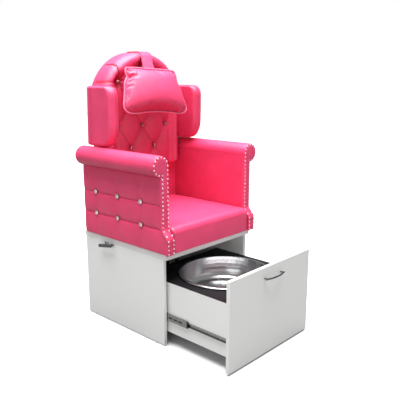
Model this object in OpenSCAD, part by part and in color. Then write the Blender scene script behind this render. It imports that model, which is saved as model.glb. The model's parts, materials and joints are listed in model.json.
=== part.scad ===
// Pedicure chair: a wing-back armchair on a lacquered cabinet with a pull-out basin drawer.
// Millimetres. Z is up and the sitter faces -Y. The drawer is drawn pulled out, as it
// stands at rest, and the origin is on the floor under the middle of the whole object.

/* [Cabinet] */
// Width across the two side panels
cab_w = 640; // [610:2:680]
// Gap between the closed drawer box and the back panel
rear_gap = 21; // [15:1:70]
// Height of the underside of the top board above the floor
cab_h = 456; // [440:2:500]
// Thickness of the cabinet boards and of the drawer front
board_t = 18; // [16:1:20]
// Thickness of the top board that carries the chair
top_t = 25; // [18:1:32]
// How far the top board stands out past the front of the cabinet
top_front = 24; // [18:1:30]
// How far the top board stands out past the back of the cabinet
top_back = 10; // [0:1:20]
// Height of the floor glides under the side panels
glide_t = 4; // [2:1:8]
// Height of the lower edge of the back panel above the floor
back_lift = 40; // [10:5:80]

/* [Drawer] */
// How far the drawer stands pulled out at rest
drawer_open = 399; // [300:1:420]
// Gap between the closed drawer front and the side panels
shut_gap = 1; // [0.5:0.5:3]
// Height of the lower edge of the drawer front above the floor
front_lift = 10; // [5:1:30]
// Gap between the drawer front and the top board
front_gap = 4; // [2:1:8]
// How far the drawer box reaches behind its slides
box_rear = 40; // [20:2:60]
// Thickness of the drawer box boards
box_t = 16; // [12:1:18]
// Height of the drawer box above the floor
box_lift = 69; // [40:1:90]
// Height of the drawer box sides
box_h = 246; // [220:1:260]
// Thickness of the drawer bottom
bottom_t = 12; // [6:1:15]
// Thickness of the shelf board that holds the basin
shelf_t = 17; // [15:1:22]
// Thickness of the laminate on the shelf
laminate_t = 1; // [0.6:0.2:2]

/* [Drawer slides] */
// Room between a side panel and the drawer box for one slide
slide_gap = 13; // [12.6:0.2:14]
// Height of the slides' centre line above the floor
slide_z = 152; // [120:1:200]
// Length of the outer member
slide_l = 550; // [500:10:560]
// Height of the outer member
outer_h = 45.5; // [45:0.5:48]
// Height of the middle member
middle_h = 35; // [34:0.5:36]
// Height of the inner member
inner_h = 20; // [18:0.5:21]
// How much shorter the middle member is than the outer one
middle_short = 70; // [68:1:100]
// How far the closed middle member lies behind the front of the outer one
middle_set = 64; // [50:1:66]
// Gap between the drawer front and the inner member
inner_set = 20; // [10:1:40]
// Wall of the slide members
slide_wall = 1.2; // [1:0.1:1.4]

/* [Basin] */
// Outer diameter of the rolled rim
basin_d = 486; // [460:2:500]
// Diameter of the flat floor of the basin
basin_floor_d = 372; // [300:2:400]
// Depth from the rim to the underside of the floor
basin_depth = 118; // [90:2:140]
// Diameter of the hole in the shelf
basin_hole_d = 462; // [440:2:470]
// Sheet thickness of the basin
basin_wall = 1.5; // [1:0.1:2.5]
// Thickness of the rolled rim
rim_d = 11; // [8:1:14]

/* [Handles] */
// Distance between the two posts of the drawer handle
pull_pitch = 128; // [96:1:160]
// Length of the bow of the drawer handle
pull_l = 142; // [130:1:180]
// Thickness of the bow
pull_d = 8; // [6:0.5:12]
// How far the middle of the bow stands out from the front
pull_out = 32; // [26:1:40]
// How much the bow curves outward
pull_sag = 12; // [6:1:18]
// Height of the drawer handle above the floor
pull_z = 398; // [200:1:420]
// Length of the side handle
grip_l = 116; // [90:1:140]
// Height of the side handle's bar
grip_h = 17; // [12:1:22]
// Thickness of the side handle's bar
grip_t = 7; // [5:0.5:10]
// How far the side handle stands out from the panel
grip_out = 26; // [20:1:36]
// Distance of the side handle behind the middle of the cabinet
grip_set = 112; // [60:1:140]
// Gap between the top board and the top of the side handle
grip_down = 6.5; // [6.5:0.5:120]
// Slope of the side handle, front end up
grip_tilt = 10; // [0:1:14]

/* [Arms] */
// Gap between the back cushion and the inner face of an arm
back_gap = 13.5; // [8:0.5:20]
// Thickness of an arm with its padding
arm_t = 47; // [44:1:60]
// Thickness of the board inside an arm
core_t = 18; // [15:1:20]
// Distance from the back of the arms to the middle of the cabinet
arm_rear = 301; // [290:1:310]
// Height of the roll's centre above the top board
roll_up = 431; // [380:1:460]
// Diameter of the arm roll
roll_d = 102; // [90:1:110]
// How far the foot of the arm flares forward
flare = 37; // [20:1:45]
// Height above the top board where the flare starts
flare_low = 73; // [50:1:90]
// Height above the top board where the flare has run out
flare_high = 136; // [120:1:160]
// Thickness of the front facing with its nails
facing_t = 10; // [6:1:14]
// Distance between two trim nails
nail_pitch = 20.7; // [18:0.1:30]
// Diameter of a trim nail's head
nail_d = 11; // [8:0.5:13]
// Distance between the tufting buttons along the arm
tuft_y = 180; // [140:1:190]
// Distance of the middle buttons behind the middle of the cabinet
tuft_mid = 16; // [0:1:30]
// Height of the lower row of arm buttons above the top board
tuft_low = 124; // [110:1:140]
// Height of the upper row of arm buttons above the top board
tuft_high = 240; // [220:1:270]
// Diameter of an arm button
button_d = 24; // [18:1:28]

/* [Seat] */
// Height of the seat's edge above the top board
seat_h = 131; // [120:1:150]
// Extra height of the seat's crown
seat_crown = 8; // [2:1:16]
// Radius of the seat's front edge
seat_round = 32; // [20:1:40]
// Height of the rails under the seat
rail_h = 60; // [50:1:70]
// Thickness of the rails under the seat
rail_t = 25; // [20:1:30]
// Thickness of the seat board
deck_t = 12; // [9:1:15]

/* [Back] */
// Width of the back cushion between the wings
back_w = 543; // [530:1:544]
// How much longer the radius of the arched top is than half the back's width
arch_over = 18.5; // [14:0.5:40]
// Height of the arch's centre above the top board
arch_up = 679; // [660:1:700]
// Height of the cushion's lower edge above the top board
cushion_up = 336; // [320:1:350]
// Distance from the middle of the cabinet to the front of the rim
rim_set = 156; // [150:1:160]
// Width of the rolled border round the tufted field
rim_w = 70; // [60:1:76]
// Thickness of the board inside the back
back_board_t = 18; // [15:1:20]
// How far the outer buttons of a row lie inside the border's seam
diamond_in = 27.5; // [20:0.5:40]
// Distance between two rows of buttons
diamond_h = 119; // [100:1:125]
// Height of the lowest row of buttons above the cushion's lower edge
diamond_up = 119; // [100:1:125]
// Diameter of a back button
stud_d = 18; // [14:1:22]

/* [Wings] */
// Thickness of a wing
wing_t = 68; // [56:1:76]
// Depth of a wing
wing_d = 190; // [170:1:200]
// Height of a wing
wing_h = 304; // [260:1:320]
// Height of a wing's lower edge above the top board
wing_up = 488; // [484:1:500]
// Distance from the middle of the cabinet to the back of a wing
wing_rear = 230; // [226:1:236]

/* [Head pillow] */
// How far a lower corner of the pillow lies inside the side of the back
pillow_side = 29.5; // [20:0.5:50]
// Width of the pillow along its upper edge
pillow_top_w = 352; // [320:2:400]
// Height of the pillow along its slope
pillow_h = 250; // [220:1:260]
// How far the front of the pillow swells
pillow_front = 62; // [40:1:70]
// How far the back of the pillow swells
pillow_rear = 80; // [50:1:84]
// Lean of the pillow, lower edge forward
pillow_tilt = 15; // [10:1:20]
// Width of the strap
strap_w = 75; // [50:1:90]
// Thickness of the strap
strap_t = 3; // [2:0.5:5]
// Diameter of the piping
piping_d = 7; // [5:0.5:9]

/* [Hidden] */
$fn = 48;
// Clearance of a pin, screw or dowel in its bore, all round
fit = 0.2;
// Gap between a soft piece and its neighbour
soft_gap = 0.3;
// Overrun of a cut
over = 1;

// Cabinet
box_l = slide_l + box_rear;
cab_d = box_l - shut_gap + rear_gap + board_t;
mid_y = (drawer_open + board_t + pull_out - top_back) / 2;
front_y = mid_y - cab_d / 2;
back_y = mid_y + cab_d / 2;
in_x = cab_w / 2 - board_t;
base_z = cab_h + top_t;
glide_edge = 1;
glide_d = board_t - 2 * glide_edge;
glide_in = 60;
glide_pin_d = 3;
glide_pin_l = 12;
dowel_d = 8;
dowel_l = 30;
dowel_in = 12;
dowel_shares = [0.15, 0.5, 0.85];
cleat_w = 20;
cleat_h = 16;
cleat_end = 40;
cleat_screw_in = 12;
cleat_stagger = 15;
bolt_d = 8;
bolt_head_d = 13;
bolt_head_h = 6;
washer_d = 22;
washer_t = 1.6;
bolt_up = 40;
bolt_share = 0.6;

// Slides, with depths counted inward from the side panel
middle_l = slide_l - middle_short;
outer_deep = 9.5;
middle_from = 2.6;
middle_to = 10.2;
inner_from = 4.4;
slide_set = 2;
slot_l = 24;
slot_h = 7;
slot_pitch = 34;
slot_from = 30;
slot_count = 3;
catch_l = 9;
lip_l = 16;
lip_gap = 0.6;
ball_gap = 0.3;
ball_count = 4;
ball_pitch = 30;
ball_end = 22;
slide_screw_d = 3.5;
slide_head_d = 7;
slide_head_h = 1;
slide_screw_l = 13;
slide_screw_shares = [0.07, 0.5, 0.93];

// Drawer
drawer_y = front_y - drawer_open;
box_x = in_x - slide_gap;
front_h = cab_h - front_gap - front_lift;
shelf_z = box_lift + box_h;
deck_z = shelf_z + shelf_t + laminate_t;
drawer_in = drawer_open - shut_gap;
middle_y = front_y + slide_set + middle_set - drawer_in / 2;
inner_y = drawer_y + inner_set;
inner_l = slide_l - inner_set;
basin_share = 0.323;
basin_y = drawer_y + box_t + basin_hole_d / 2
    + basin_share * (box_l - 2 * box_t - basin_hole_d);
basin_fit = 1;

// Handles
post_d = 9;
stud_l = 14;
stud_thread_d = 4;
pull_screw_d = 4;
pull_head_d = 8;
pull_head_h = 2.5;
thread_share = 0.6;
bow_y = drawer_y - board_t - pull_out + pull_d / 2;
bow_r = (pow(pull_l / 2, 2) + pow(pull_sag, 2)) / (2 * pull_sag);
pull_post_l = pull_out - pull_d / 2 - bow_r + sqrt(pow(bow_r, 2) - pow(pull_pitch / 2, 2));
pull_screw_in = pull_post_l * thread_share;
grip_y = mid_y + grip_set;
grip_z = cab_h - grip_down - grip_h / 2;
hook_d = 5;
hook_out = 22;
hook_up = 14;
hook_gap = 0.5;
hook_z = cab_h - hook_gap - hook_d / 2;

// Arms
back_x = back_w / 2;
arm_in = back_x + back_gap;
arm_out = arm_in + arm_t;
arm_front = front_y;
arm_back = mid_y + arm_rear;
core_x = arm_in + (arm_t - core_t) / 2;
roll_r = roll_d / 2;
roll_x = arm_in + roll_r;
roll_z = base_z + roll_up;
skirt_gap = 3;
flare_steps = 10;
puff = 7;
puff_side = 3;
seam_deep = 3;
dimple = 5;
dimple_r = 14;
side_seam_share = 0.5;
pad_front_gap = 1.5;
button_h = 8;
button_lift = 3.6;
tuft_ys = [for (i = [-1:1]) mid_y + tuft_mid + i * tuft_y];
tuft_zs = [base_z + tuft_low, base_z + tuft_high];
arm_foot = base_z + skirt_gap;
arm_head = roll_z - roll_r - soft_gap;
cradle_share = 0.7;
inner_top_share = 0.53;
roll_nose = 4;
roll_end = 12;
roll_rear_gap = 10;
facing_set = 2;
facing_x = arm_in + facing_set;
facing_w = arm_t + facing_set;
nail_in = 6;
nail_h = 3.5;
nail_lift = 1.1;
nail_foot = 9;
nail_gap = arm_t - 2 * nail_in - facing_set;
ring_r = roll_x - facing_x - nail_in;

// Seat
seat_x = arm_in - soft_gap;
rail_gap = 4;
frame_x = arm_in - rail_gap;
frame_set = 14;
frame_front = front_y + frame_set;
pad_set = 215;
pad_y = mid_y + pad_set;
frame_back = pad_y - rail_gap;
front_proud = 3;
seat_front = arm_front - flare - front_proud;
seat_top = base_z + seat_h;
seat_edge = 16;
seat_front_share = 0.33;

// Back
board_set = 250;
board_y = mid_y + board_set;
arch_r = back_x + arch_over;
arch_z = base_z + arch_up;
arch_top = arch_z + arch_r;
cushion_z = base_z + cushion_up;
cushion_t = 45;
edge_y = board_y - cushion_t;
rim_y = mid_y + rim_set;
rim_deep = edge_y - rim_y;
seam_depth = 27;
valley = 24;
field_puff = 15;
stud_dimple = 5;
stud_dimple_r = 16;
cushion_foot = 22;
seam_x = back_x - rim_w;
seam_r = arch_r - rim_w;
diamond_w = seam_x - diamond_in;
board_x = back_x + soft_gap;
outer_y = board_y + back_board_t;
outer_t = 12;
rear_skirt_gap = 1;
stud_h = 7;
stud_lift = 4.4;
border_lifts = [14, 9.6, 5.3];
border_set = 3;
stud_rows = [for (k = [0:3]) cushion_z + diamond_up + k * diamond_h];
field_studs = [
    for (k = [0:3])
        for (x = k == 1 ? [-diamond_w, 0, diamond_w] : k == 3 ? [0]
            : [-diamond_w / 2, diamond_w / 2])
            [x, stud_rows[k]]];
border_studs = [[-diamond_w, stud_rows[3]], [diamond_w, stud_rows[3]],
                [0, arch_z + seam_r - border_set]];
near_seam_share = 0.98;
pad_rise = 12;
pad_puff = 10;

// Wings
wing_x = board_x;
wing_back = mid_y + wing_rear;
wing_z = base_z + wing_up;
wing_edge_share = 0.3;
wing_draw_share = 0.3;
wing_steps = 6;
wing_board_t = 12;
wing_board_in = 34;
wing_board_front = rim_y + wing_board_t;

// Pillow
pillow_w = back_w - 2 * pillow_side;
pillow_set = 50;
pillow_up = 197;
pillow_y = rim_y - pillow_set;
pillow_z = arch_z + pillow_up;
pillow_edge = 2;
pillow_draw_share = 0.05;
pillow_steps = 6;
strap_gap = 0.4;
strap_clear = 0.5;
strap_steps = 8;
strap_tail = 130;

function mix(a, b, t) = a + (b - a) * t;
function ease(t) = (1 - cos(180 * t)) / 2;
function swell(t) = sqrt(max(0, sin(180 * t)));
function shoulder(t) = t >= 1 ? 1 : sqrt(max(0, 1 - pow(1 - t, 2)));
function dent(dx, dz, r) = exp(-(dx * dx + dz * dz) / (2 * r * r));

// Marks with equal steps between each two of them
function bands(marks, counts) = concat([marks[0]], [
    for (k = [0:len(counts) - 1]) for (i = [1:counts[k]])
        mix(marks[k], marks[k + 1], i / counts[k])]);

// Share of the way through the band that holds c
function band_share(c, marks, k = 0) =
    k >= len(marks) - 2 || c <= marks[k + 1]
        ? (c - marks[k]) / (marks[k + 1] - marks[k])
        : band_share(c, marks, k + 1);

// Drawn on the right and mirrored for the left
module sided(side) {
    if (side > 0) children();
    else mirror([1, 0, 0]) children();
}

module rod_x(d, l) {
    rotate([0, 90, 0]) cylinder(d = d, h = l);
}

module rod_y(d, l) {
    rotate([-90, 0, 0]) cylinder(d = d, h = l);
}

module block(low, high) {
    translate(low) cube(high - low);
}

// Closed soft solid between a grid of outer points and one of inner points
module padded(outer, inner) {
    n = len(outer);
    m = len(outer[0]);
    count = n * m;
    points = [for (grid = [outer, inner]) for (row = grid) for (p = row) p];
    function at(i, j) = i * m + j;
    skin = [for (i = [0:n - 2]) for (j = [0:m - 2]) each [
        [at(i, j), at(i + 1, j), at(i + 1, j + 1)],
        [at(i, j), at(i + 1, j + 1), at(i, j + 1)]]];
    lining = [for (f = skin) [f[0] + count, f[2] + count, f[1] + count]];
    loop = concat(
        [for (i = [0:n - 2]) at(i, 0)],
        [for (j = [0:m - 2]) at(n - 1, j)],
        [for (i = [n - 1:-1:1]) at(i, m - 1)],
        [for (j = [m - 1:-1:1]) at(0, j)]);
    wall = [for (q = [0:len(loop) - 1])
        let (a = loop[q], b = loop[(q + 1) % len(loop)])
        each [[a, a + count, b + count], [a, b + count, b]]];
    polyhedron(points, concat(skin, lining, wall), convexity = 6);
}

// Cabinet

module glides() {
    color("dimgray")
        for (side = [-1, 1]) for (y = [front_y + glide_in, back_y - glide_in])
            translate([side * (cab_w - board_t) / 2, y, 0]) {
                cylinder(d = glide_d, h = glide_t);
                cylinder(d = glide_pin_d, h = glide_t + glide_pin_l);
            }
}

// Screw holes where the slide's outer member is fixed, at the panel's inner face
module slide_screw_places(y, l) {
    for (s = slide_screw_shares) translate([0, y + s * l, slide_z]) children();
}

module side_panel(side) {
    sided(side) difference() {
        block([in_x, front_y, glide_t], [cab_w / 2, back_y, cab_h]);
        for (y = [front_y + glide_in, back_y - glide_in])
            translate([(cab_w - board_t) / 2, y, glide_t - over])
                cylinder(d = glide_pin_d + 2 * fit, h = glide_pin_l + over + fit);
        for (s = dowel_shares)
            translate([in_x - over, back_y - board_t / 2, mix(back_lift, cab_h, s)])
                rod_x(dowel_d + 2 * fit, dowel_in + over + fit);
        slide_screw_places(front_y + slide_set, slide_l)
            translate([in_x - over, 0, 0])
                rod_x(slide_screw_d + 2 * fit, slide_screw_l + over);
        for (y = cleat_screw_ys())
            translate([in_x - over, y, cab_h - cleat_h / 2])
                rod_x(slide_screw_d + 2 * fit, cleat_screw_in + over + fit);
        if (side < 0) {
            grip_places() translate([cab_w / 2 - stud_l - fit, 0, 0])
                rod_x(stud_thread_d + 2 * fit, stud_l + over + fit);
            translate([cab_w / 2 - stud_l - fit, grip_y, hook_z])
                rod_x(stud_thread_d + 2 * fit, stud_l + over + fit);
        }
    }
}

module side_panel_left() {
    color("white") side_panel(-1);
}

module side_panel_right() {
    color("white") side_panel(1);
}

module back_panel() {
    color([0.12, 0.12, 0.13]) difference() {
        block([-in_x, back_y - board_t, back_lift], [in_x, back_y, cab_h]);
        for (side = [-1, 1]) for (s = dowel_shares) sided(side)
            translate([in_x - dowel_l + dowel_in - fit, back_y - board_t / 2,
                       mix(back_lift, cab_h, s)])
                rod_x(dowel_d + 2 * fit, dowel_l);
    }
}

module panel_dowels() {
    color("burlywood")
        for (side = [-1, 1]) for (s = dowel_shares) sided(side)
            translate([in_x - dowel_l + dowel_in, back_y - board_t / 2,
                       mix(back_lift, cab_h, s)])
                rod_x(dowel_d, dowel_l);
}

module bolt_places() {
    for (side = [-1, 1]) for (y = [frame_front + rail_t / 2, frame_back - rail_t / 2])
        translate([side * frame_x * bolt_share, y, 0]) children();
}

module top_board() {
    color("white") difference() {
        block([-cab_w / 2, front_y - top_front, cab_h], [cab_w / 2, back_y + top_back, base_z]);
        bolt_places() translate([0, 0, cab_h - over])
            cylinder(d = bolt_d + 2 * fit, h = top_t + 2 * over);
        for (side = [-1, 1]) for (y = cleat_screw_ys())
            translate([side * (in_x - cleat_w / 2), y + cleat_stagger, cab_h - over])
                cylinder(d = slide_screw_d + 2 * fit, h = cleat_screw_in + over + fit);
    }
}

function cleat_screw_ys() = [for (s = dowel_shares)
    mix(front_y + cleat_end, back_y - board_t - cleat_end, s)];

// Battens that tie the side panels to the top board, with their screws' holes
module top_cleats() {
    color("burlywood") for (side = [-1, 1]) sided(side) difference() {
        block([in_x - cleat_w, front_y + cleat_end, cab_h - cleat_h],
              [in_x, back_y - board_t - cleat_end, cab_h]);
        for (y = cleat_screw_ys()) {
            translate([in_x - cleat_w - over, y, cab_h - cleat_h / 2])
                rod_x(slide_screw_d + 2 * fit, cleat_w + 2 * over);
            translate([in_x - cleat_w / 2, y + cleat_stagger, cab_h - cleat_h - over])
                cylinder(d = slide_screw_d + 2 * fit, h = cleat_h + 2 * over);
        }
    }
}

module cleat_screws() {
    color("silver") for (side = [-1, 1]) sided(side)
        for (y = cleat_screw_ys()) {
            translate([in_x - cleat_w - slide_head_h, y, cab_h - cleat_h / 2]) {
                rod_x(slide_head_d, slide_head_h);
                rod_x(slide_screw_d, slide_head_h + cleat_w + cleat_screw_in);
            }
            translate([in_x - cleat_w / 2, y + cleat_stagger,
                       cab_h - cleat_h - slide_head_h]) {
                cylinder(d = slide_head_d, h = slide_head_h);
                cylinder(d = slide_screw_d, h = slide_head_h + cleat_h + cleat_screw_in);
            }
        }
}

// Bolts up through the top board into the rails under the seat
module chair_bolts() {
    color("silver") bolt_places()
        translate([0, 0, cab_h - washer_t]) {
            cylinder(d = washer_d, h = washer_t);
            translate([0, 0, -bolt_head_h]) cylinder(d = bolt_head_d, h = bolt_head_h, $fn = 6);
            cylinder(d = bolt_d, h = washer_t + top_t + bolt_up);
        }
}

// The two posts of the side handle
module grip_places() {
    for (end = [-1, 1])
        translate([0, grip_y, grip_z]) rotate([-grip_tilt, 0, 0])
            translate([0, end * (grip_l / 2 - grip_h), 0]) children();
}

module side_handle() {
    bar_x = cab_w / 2 + grip_out - grip_t;
    color("silver") sided(-1) {
        translate([0, grip_y, grip_z]) rotate([-grip_tilt, 0, 0]) {
            block([bar_x, -(grip_l - grip_h) / 2, -grip_h / 2],
                  [bar_x + grip_t, (grip_l - grip_h) / 2, grip_h / 2]);
            for (end = [-1, 1])
                translate([bar_x, end * (grip_l - grip_h) / 2, 0]) rod_x(grip_h, grip_t);
        }
        grip_places() {
            translate([cab_w / 2, 0, 0]) rod_x(post_d, grip_out - grip_t);
            translate([cab_w / 2 - stud_l, 0, 0]) rod_x(stud_thread_d, stud_l + over);
        }
    }
}

// Small black hook above the side handle
module side_hook() {
    bend = hook_d;
    color([0.1, 0.1, 0.1]) sided(-1) translate([cab_w / 2, grip_y, hook_z]) {
        translate([-stud_l, 0, 0]) rod_x(stud_thread_d, stud_l + over);
        rod_x(hook_d, hook_out - bend);
        translate([hook_out - bend, 0, bend]) rotate([90, 0, 0])
            rotate_extrude(angle = 90, start = -90) translate([bend, 0]) circle(d = hook_d);
        translate([hook_out, 0, bend]) cylinder(d = hook_d, h = hook_up - 2 * bend + hook_d / 2);
        translate([hook_out, 0, hook_up - bend + hook_d / 2]) sphere(d = hook_d);
    }
}

// Drawer slides, each drawn for the right side with depths counted inward from the panel

module slide_bar(from, to, h, y, l, web_at) {
    // A channel: a web with a flange along each edge
    web = web_at == "outer" ? [from, from + slide_wall] : [to - slide_wall, to];
    translate([in_x, y, slide_z]) {
        block([-web[1], 0, -h / 2], [-web[0], l, h / 2]);
        for (edge = [-1, 1])
            translate([0, 0, edge * (h - slide_wall) / 2])
                block([-to, 0, -slide_wall / 2], [-from, l, slide_wall / 2]);
    }
}

module slide_outer(side) {
    color("silver") sided(side) difference() {
        slide_bar(0, outer_deep, outer_h, front_y + slide_set, slide_l, "outer");
        slide_screw_places(front_y + slide_set, slide_l)
            translate([in_x - slide_wall - over, 0, 0])
                rod_x(slide_screw_d + 2 * fit, slide_wall + 2 * over);
    }
}

module slide_middle(side) {
    color("silver") sided(side) difference() {
        slide_bar(middle_from, middle_to, middle_h, middle_y, middle_l, "outer");
        for (k = [0:slot_count - 1])
            translate([in_x - middle_from - slide_wall - over,
                       middle_y + slot_from + k * slot_pitch, slide_z])
                block([0, 0, -slot_h / 2], [slide_wall + 2 * over, slot_l, slot_h / 2]);
    }
}

module slide_catch(side) {
    lip = (middle_h / 2 - slide_wall - inner_h / 2 - lip_gap);
    color([0.08, 0.08, 0.08]) sided(side) translate([in_x, middle_y, slide_z]) {
        block([-inner_from + soft_gap, -catch_l, -middle_h / 2],
              [-middle_from, 0, middle_h / 2]);
        for (edge = [-1, 1])
            translate([0, -catch_l, edge * (inner_h / 2 + lip_gap + lip / 2)])
                block([-middle_to, 0, -lip / 2],
                      [-middle_from - slide_wall, catch_l + lip_l, lip / 2]);
    }
}

// Ball rows: the outer row near the back of the middle member, the inner near its front
module slide_balls(side) {
    outer_row = (middle_h / 2 + outer_h / 2 - slide_wall) / 2;
    outer_ball = outer_h / 2 - slide_wall - middle_h / 2 - 2 * ball_gap;
    inner_row = (inner_h / 2 + middle_h / 2 - slide_wall) / 2;
    inner_ball = middle_h / 2 - slide_wall - inner_h / 2 - 2 * ball_gap;
    color("gainsboro") sided(side) translate([in_x, middle_y, slide_z])
        for (edge = [-1, 1]) for (k = [0:ball_count - 1]) {
            translate([-(middle_from + outer_deep) / 2,
                       middle_l - ball_end - k * ball_pitch, edge * outer_row])
                sphere(d = outer_ball, $fn = 24);
            translate([-(middle_from + middle_to) / 2 - slide_wall,
                       lip_l + ball_end + k * ball_pitch, edge * inner_row])
                sphere(d = inner_ball, $fn = 24);
        }
}

module slide_inner(side) {
    color("silver") sided(side) difference() {
        slide_bar(inner_from, slide_gap, inner_h, inner_y, inner_l, "inner");
        slide_screw_places(inner_y, inner_l)
            translate([in_x - slide_gap - over, 0, 0])
                rod_x(slide_screw_d + 2 * fit, slide_wall + 2 * over);
    }
}

module slide_outer_left() {
    slide_outer(-1);
}

module slide_outer_right() {
    slide_outer(1);
}

module slide_middle_left() {
    slide_middle(-1);
}

module slide_middle_right() {
    slide_middle(1);
}

module slide_catch_left() {
    slide_catch(-1);
}

module slide_catch_right() {
    slide_catch(1);
}

module slide_balls_left() {
    slide_balls(-1);
}

module slide_balls_right() {
    slide_balls(1);
}

module slide_inner_left() {
    slide_inner(-1);
}

module slide_inner_right() {
    slide_inner(1);
}

// Screws that hold the outer members to the side panels
module slide_screws_cabinet() {
    color("gray") for (side = [-1, 1]) sided(side)
        slide_screw_places(front_y + slide_set, slide_l)
            translate([in_x - slide_wall - slide_head_h, 0, 0]) {
                rod_x(slide_head_d, slide_head_h);
                rod_x(slide_screw_d, slide_head_h + slide_wall + slide_screw_l - over);
            }
}

// Screws that hold the inner members to the drawer sides
module slide_screws_drawer() {
    color("gray") for (side = [-1, 1]) sided(side)
        slide_screw_places(inner_y, inner_l)
            translate([box_x - slide_screw_l + over, 0, 0]) {
                rod_x(slide_screw_d, slide_screw_l - over + slide_wall + slide_head_h);
                translate([slide_screw_l - over + slide_wall, 0, 0])
                    rod_x(slide_head_d, slide_head_h);
            }
}

// Drawer

module pull_places() {
    for (end = [-1, 1]) translate([end * pull_pitch / 2, drawer_y, pull_z]) children();
}

module drawer_front() {
    color("white") difference() {
        block([-cab_w / 2, drawer_y - board_t, front_lift],
              [cab_w / 2, drawer_y, front_lift + front_h]);
        pull_places() translate([0, -board_t - over, 0])
            rod_y(pull_screw_d + 2 * fit, board_t + 2 * over);
    }
}

module drawer_side(side) {
    sided(side) difference() {
        block([box_x - box_t, drawer_y, box_lift], [box_x, drawer_y + box_l, shelf_z]);
        slide_screw_places(inner_y, inner_l)
            translate([box_x - slide_screw_l, 0, 0])
                rod_x(slide_screw_d + 2 * fit, slide_screw_l + over);
    }
}

module drawer_side_left() {
    color("white") drawer_side(-1);
}

module drawer_side_right() {
    color("white") drawer_side(1);
}

module drawer_box_front() {
    color("white")
        block([-box_x + box_t, drawer_y, box_lift], [box_x - box_t, drawer_y + box_t, shelf_z]);
}

module drawer_back() {
    color("white") translate([0, box_l - box_t, 0])
        block([-box_x + box_t, drawer_y, box_lift], [box_x - box_t, drawer_y + box_t, shelf_z]);
}

module drawer_bottom() {
    color("white")
        block([-box_x + box_t, drawer_y + box_t, box_lift],
              [box_x - box_t, drawer_y + box_l - box_t, box_lift + bottom_t]);
}

module shelf_sheet(z, t) {
    difference() {
        block([-box_x, drawer_y, z], [box_x, drawer_y + box_l, z + t]);
        translate([0, basin_y, z - over]) cylinder(d = basin_hole_d, h = t + 2 * over, $fn = 96);
    }
}

module basin_shelf() {
    color("white") shelf_sheet(shelf_z, shelf_t);
}

module shelf_laminate() {
    color([0.05, 0.05, 0.06]) shelf_sheet(shelf_z + shelf_t, laminate_t);
}

// Round bowl hung in the shelf by its rolled rim
module basin() {
    rim_z = deck_z + soft_gap + rim_d / 2;
    top = rim_z + rim_d / 2;
    bottom = top - basin_depth;
    floor_r = basin_floor_d / 2;
    wall_r = basin_hole_d / 2 - basin_fit;
    turns = 10;
    function curve(inset) = [for (i = [0:turns]) let (a = 90 * i / turns)
        [mix(floor_r, wall_r - inset, sin(a)),
         mix(bottom + inset, top, 1 - cos(a))]];
    function reversed(list) = [for (i = [len(list) - 1:-1:0]) list[i]];
    color("lightgray") translate([0, basin_y, 0]) rotate_extrude($fn = 96) {
        polygon(concat([[0, bottom]], curve(0), reversed(curve(basin_wall)),
                       [[0, bottom + basin_wall]]));
        translate([wall_r - basin_wall, top - basin_wall])
            square([basin_d / 2 - rim_d / 2 - wall_r + basin_wall, basin_wall]);
        translate([(basin_d - rim_d) / 2, rim_z]) circle(d = rim_d);
    }
}

module drawer_handle() {
    half = asin(pull_l / 2 / bow_r);
    color("silver") {
        translate([0, bow_y + bow_r, pull_z]) {
            rotate([0, 0, 270 - half]) rotate_extrude(angle = 2 * half)
                translate([bow_r, 0]) circle(d = pull_d);
            for (a = [-half, half])
                rotate([0, 0, a]) translate([0, -bow_r, 0]) sphere(d = pull_d);
        }
        difference() {
            pull_places() translate([0, -board_t - pull_post_l, 0]) rod_y(pull_d, pull_post_l);
            pull_places() translate([0, -board_t - pull_screw_in - fit, 0])
                rod_y(pull_screw_d + 2 * fit, pull_screw_in + fit + over);
        }
    }
}

// Screws from the back of the drawer front, their heads in the room behind it
module handle_screws() {
    color("gray") pull_places() {
        rod_y(pull_head_d, pull_head_h);
        translate([0, -board_t - pull_screw_in, 0])
            rod_y(pull_screw_d, board_t + pull_screw_in + pull_head_h);
    }
}

// Seat

module seat_frame() {
    color("burlywood") difference() {
        block([-frame_x, frame_front, base_z], [frame_x, frame_back, base_z + rail_h]);
        block([-frame_x + rail_t, frame_front + rail_t, base_z - over],
              [frame_x - rail_t, frame_back - rail_t, base_z + rail_h + over]);
        bolt_places() translate([0, 0, base_z - over])
            cylinder(d = bolt_d + 2 * fit, h = bolt_up + over + fit);
    }
}

module seat_deck() {
    color("burlywood")
        block([-frame_x, frame_front, base_z + rail_h],
              [frame_x, frame_back, base_z + rail_h + deck_t]);
}

function seat_edge_drop(x) =
    seat_edge / 2 * (1 - shoulder((seat_x - abs(x)) / seat_edge));

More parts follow.
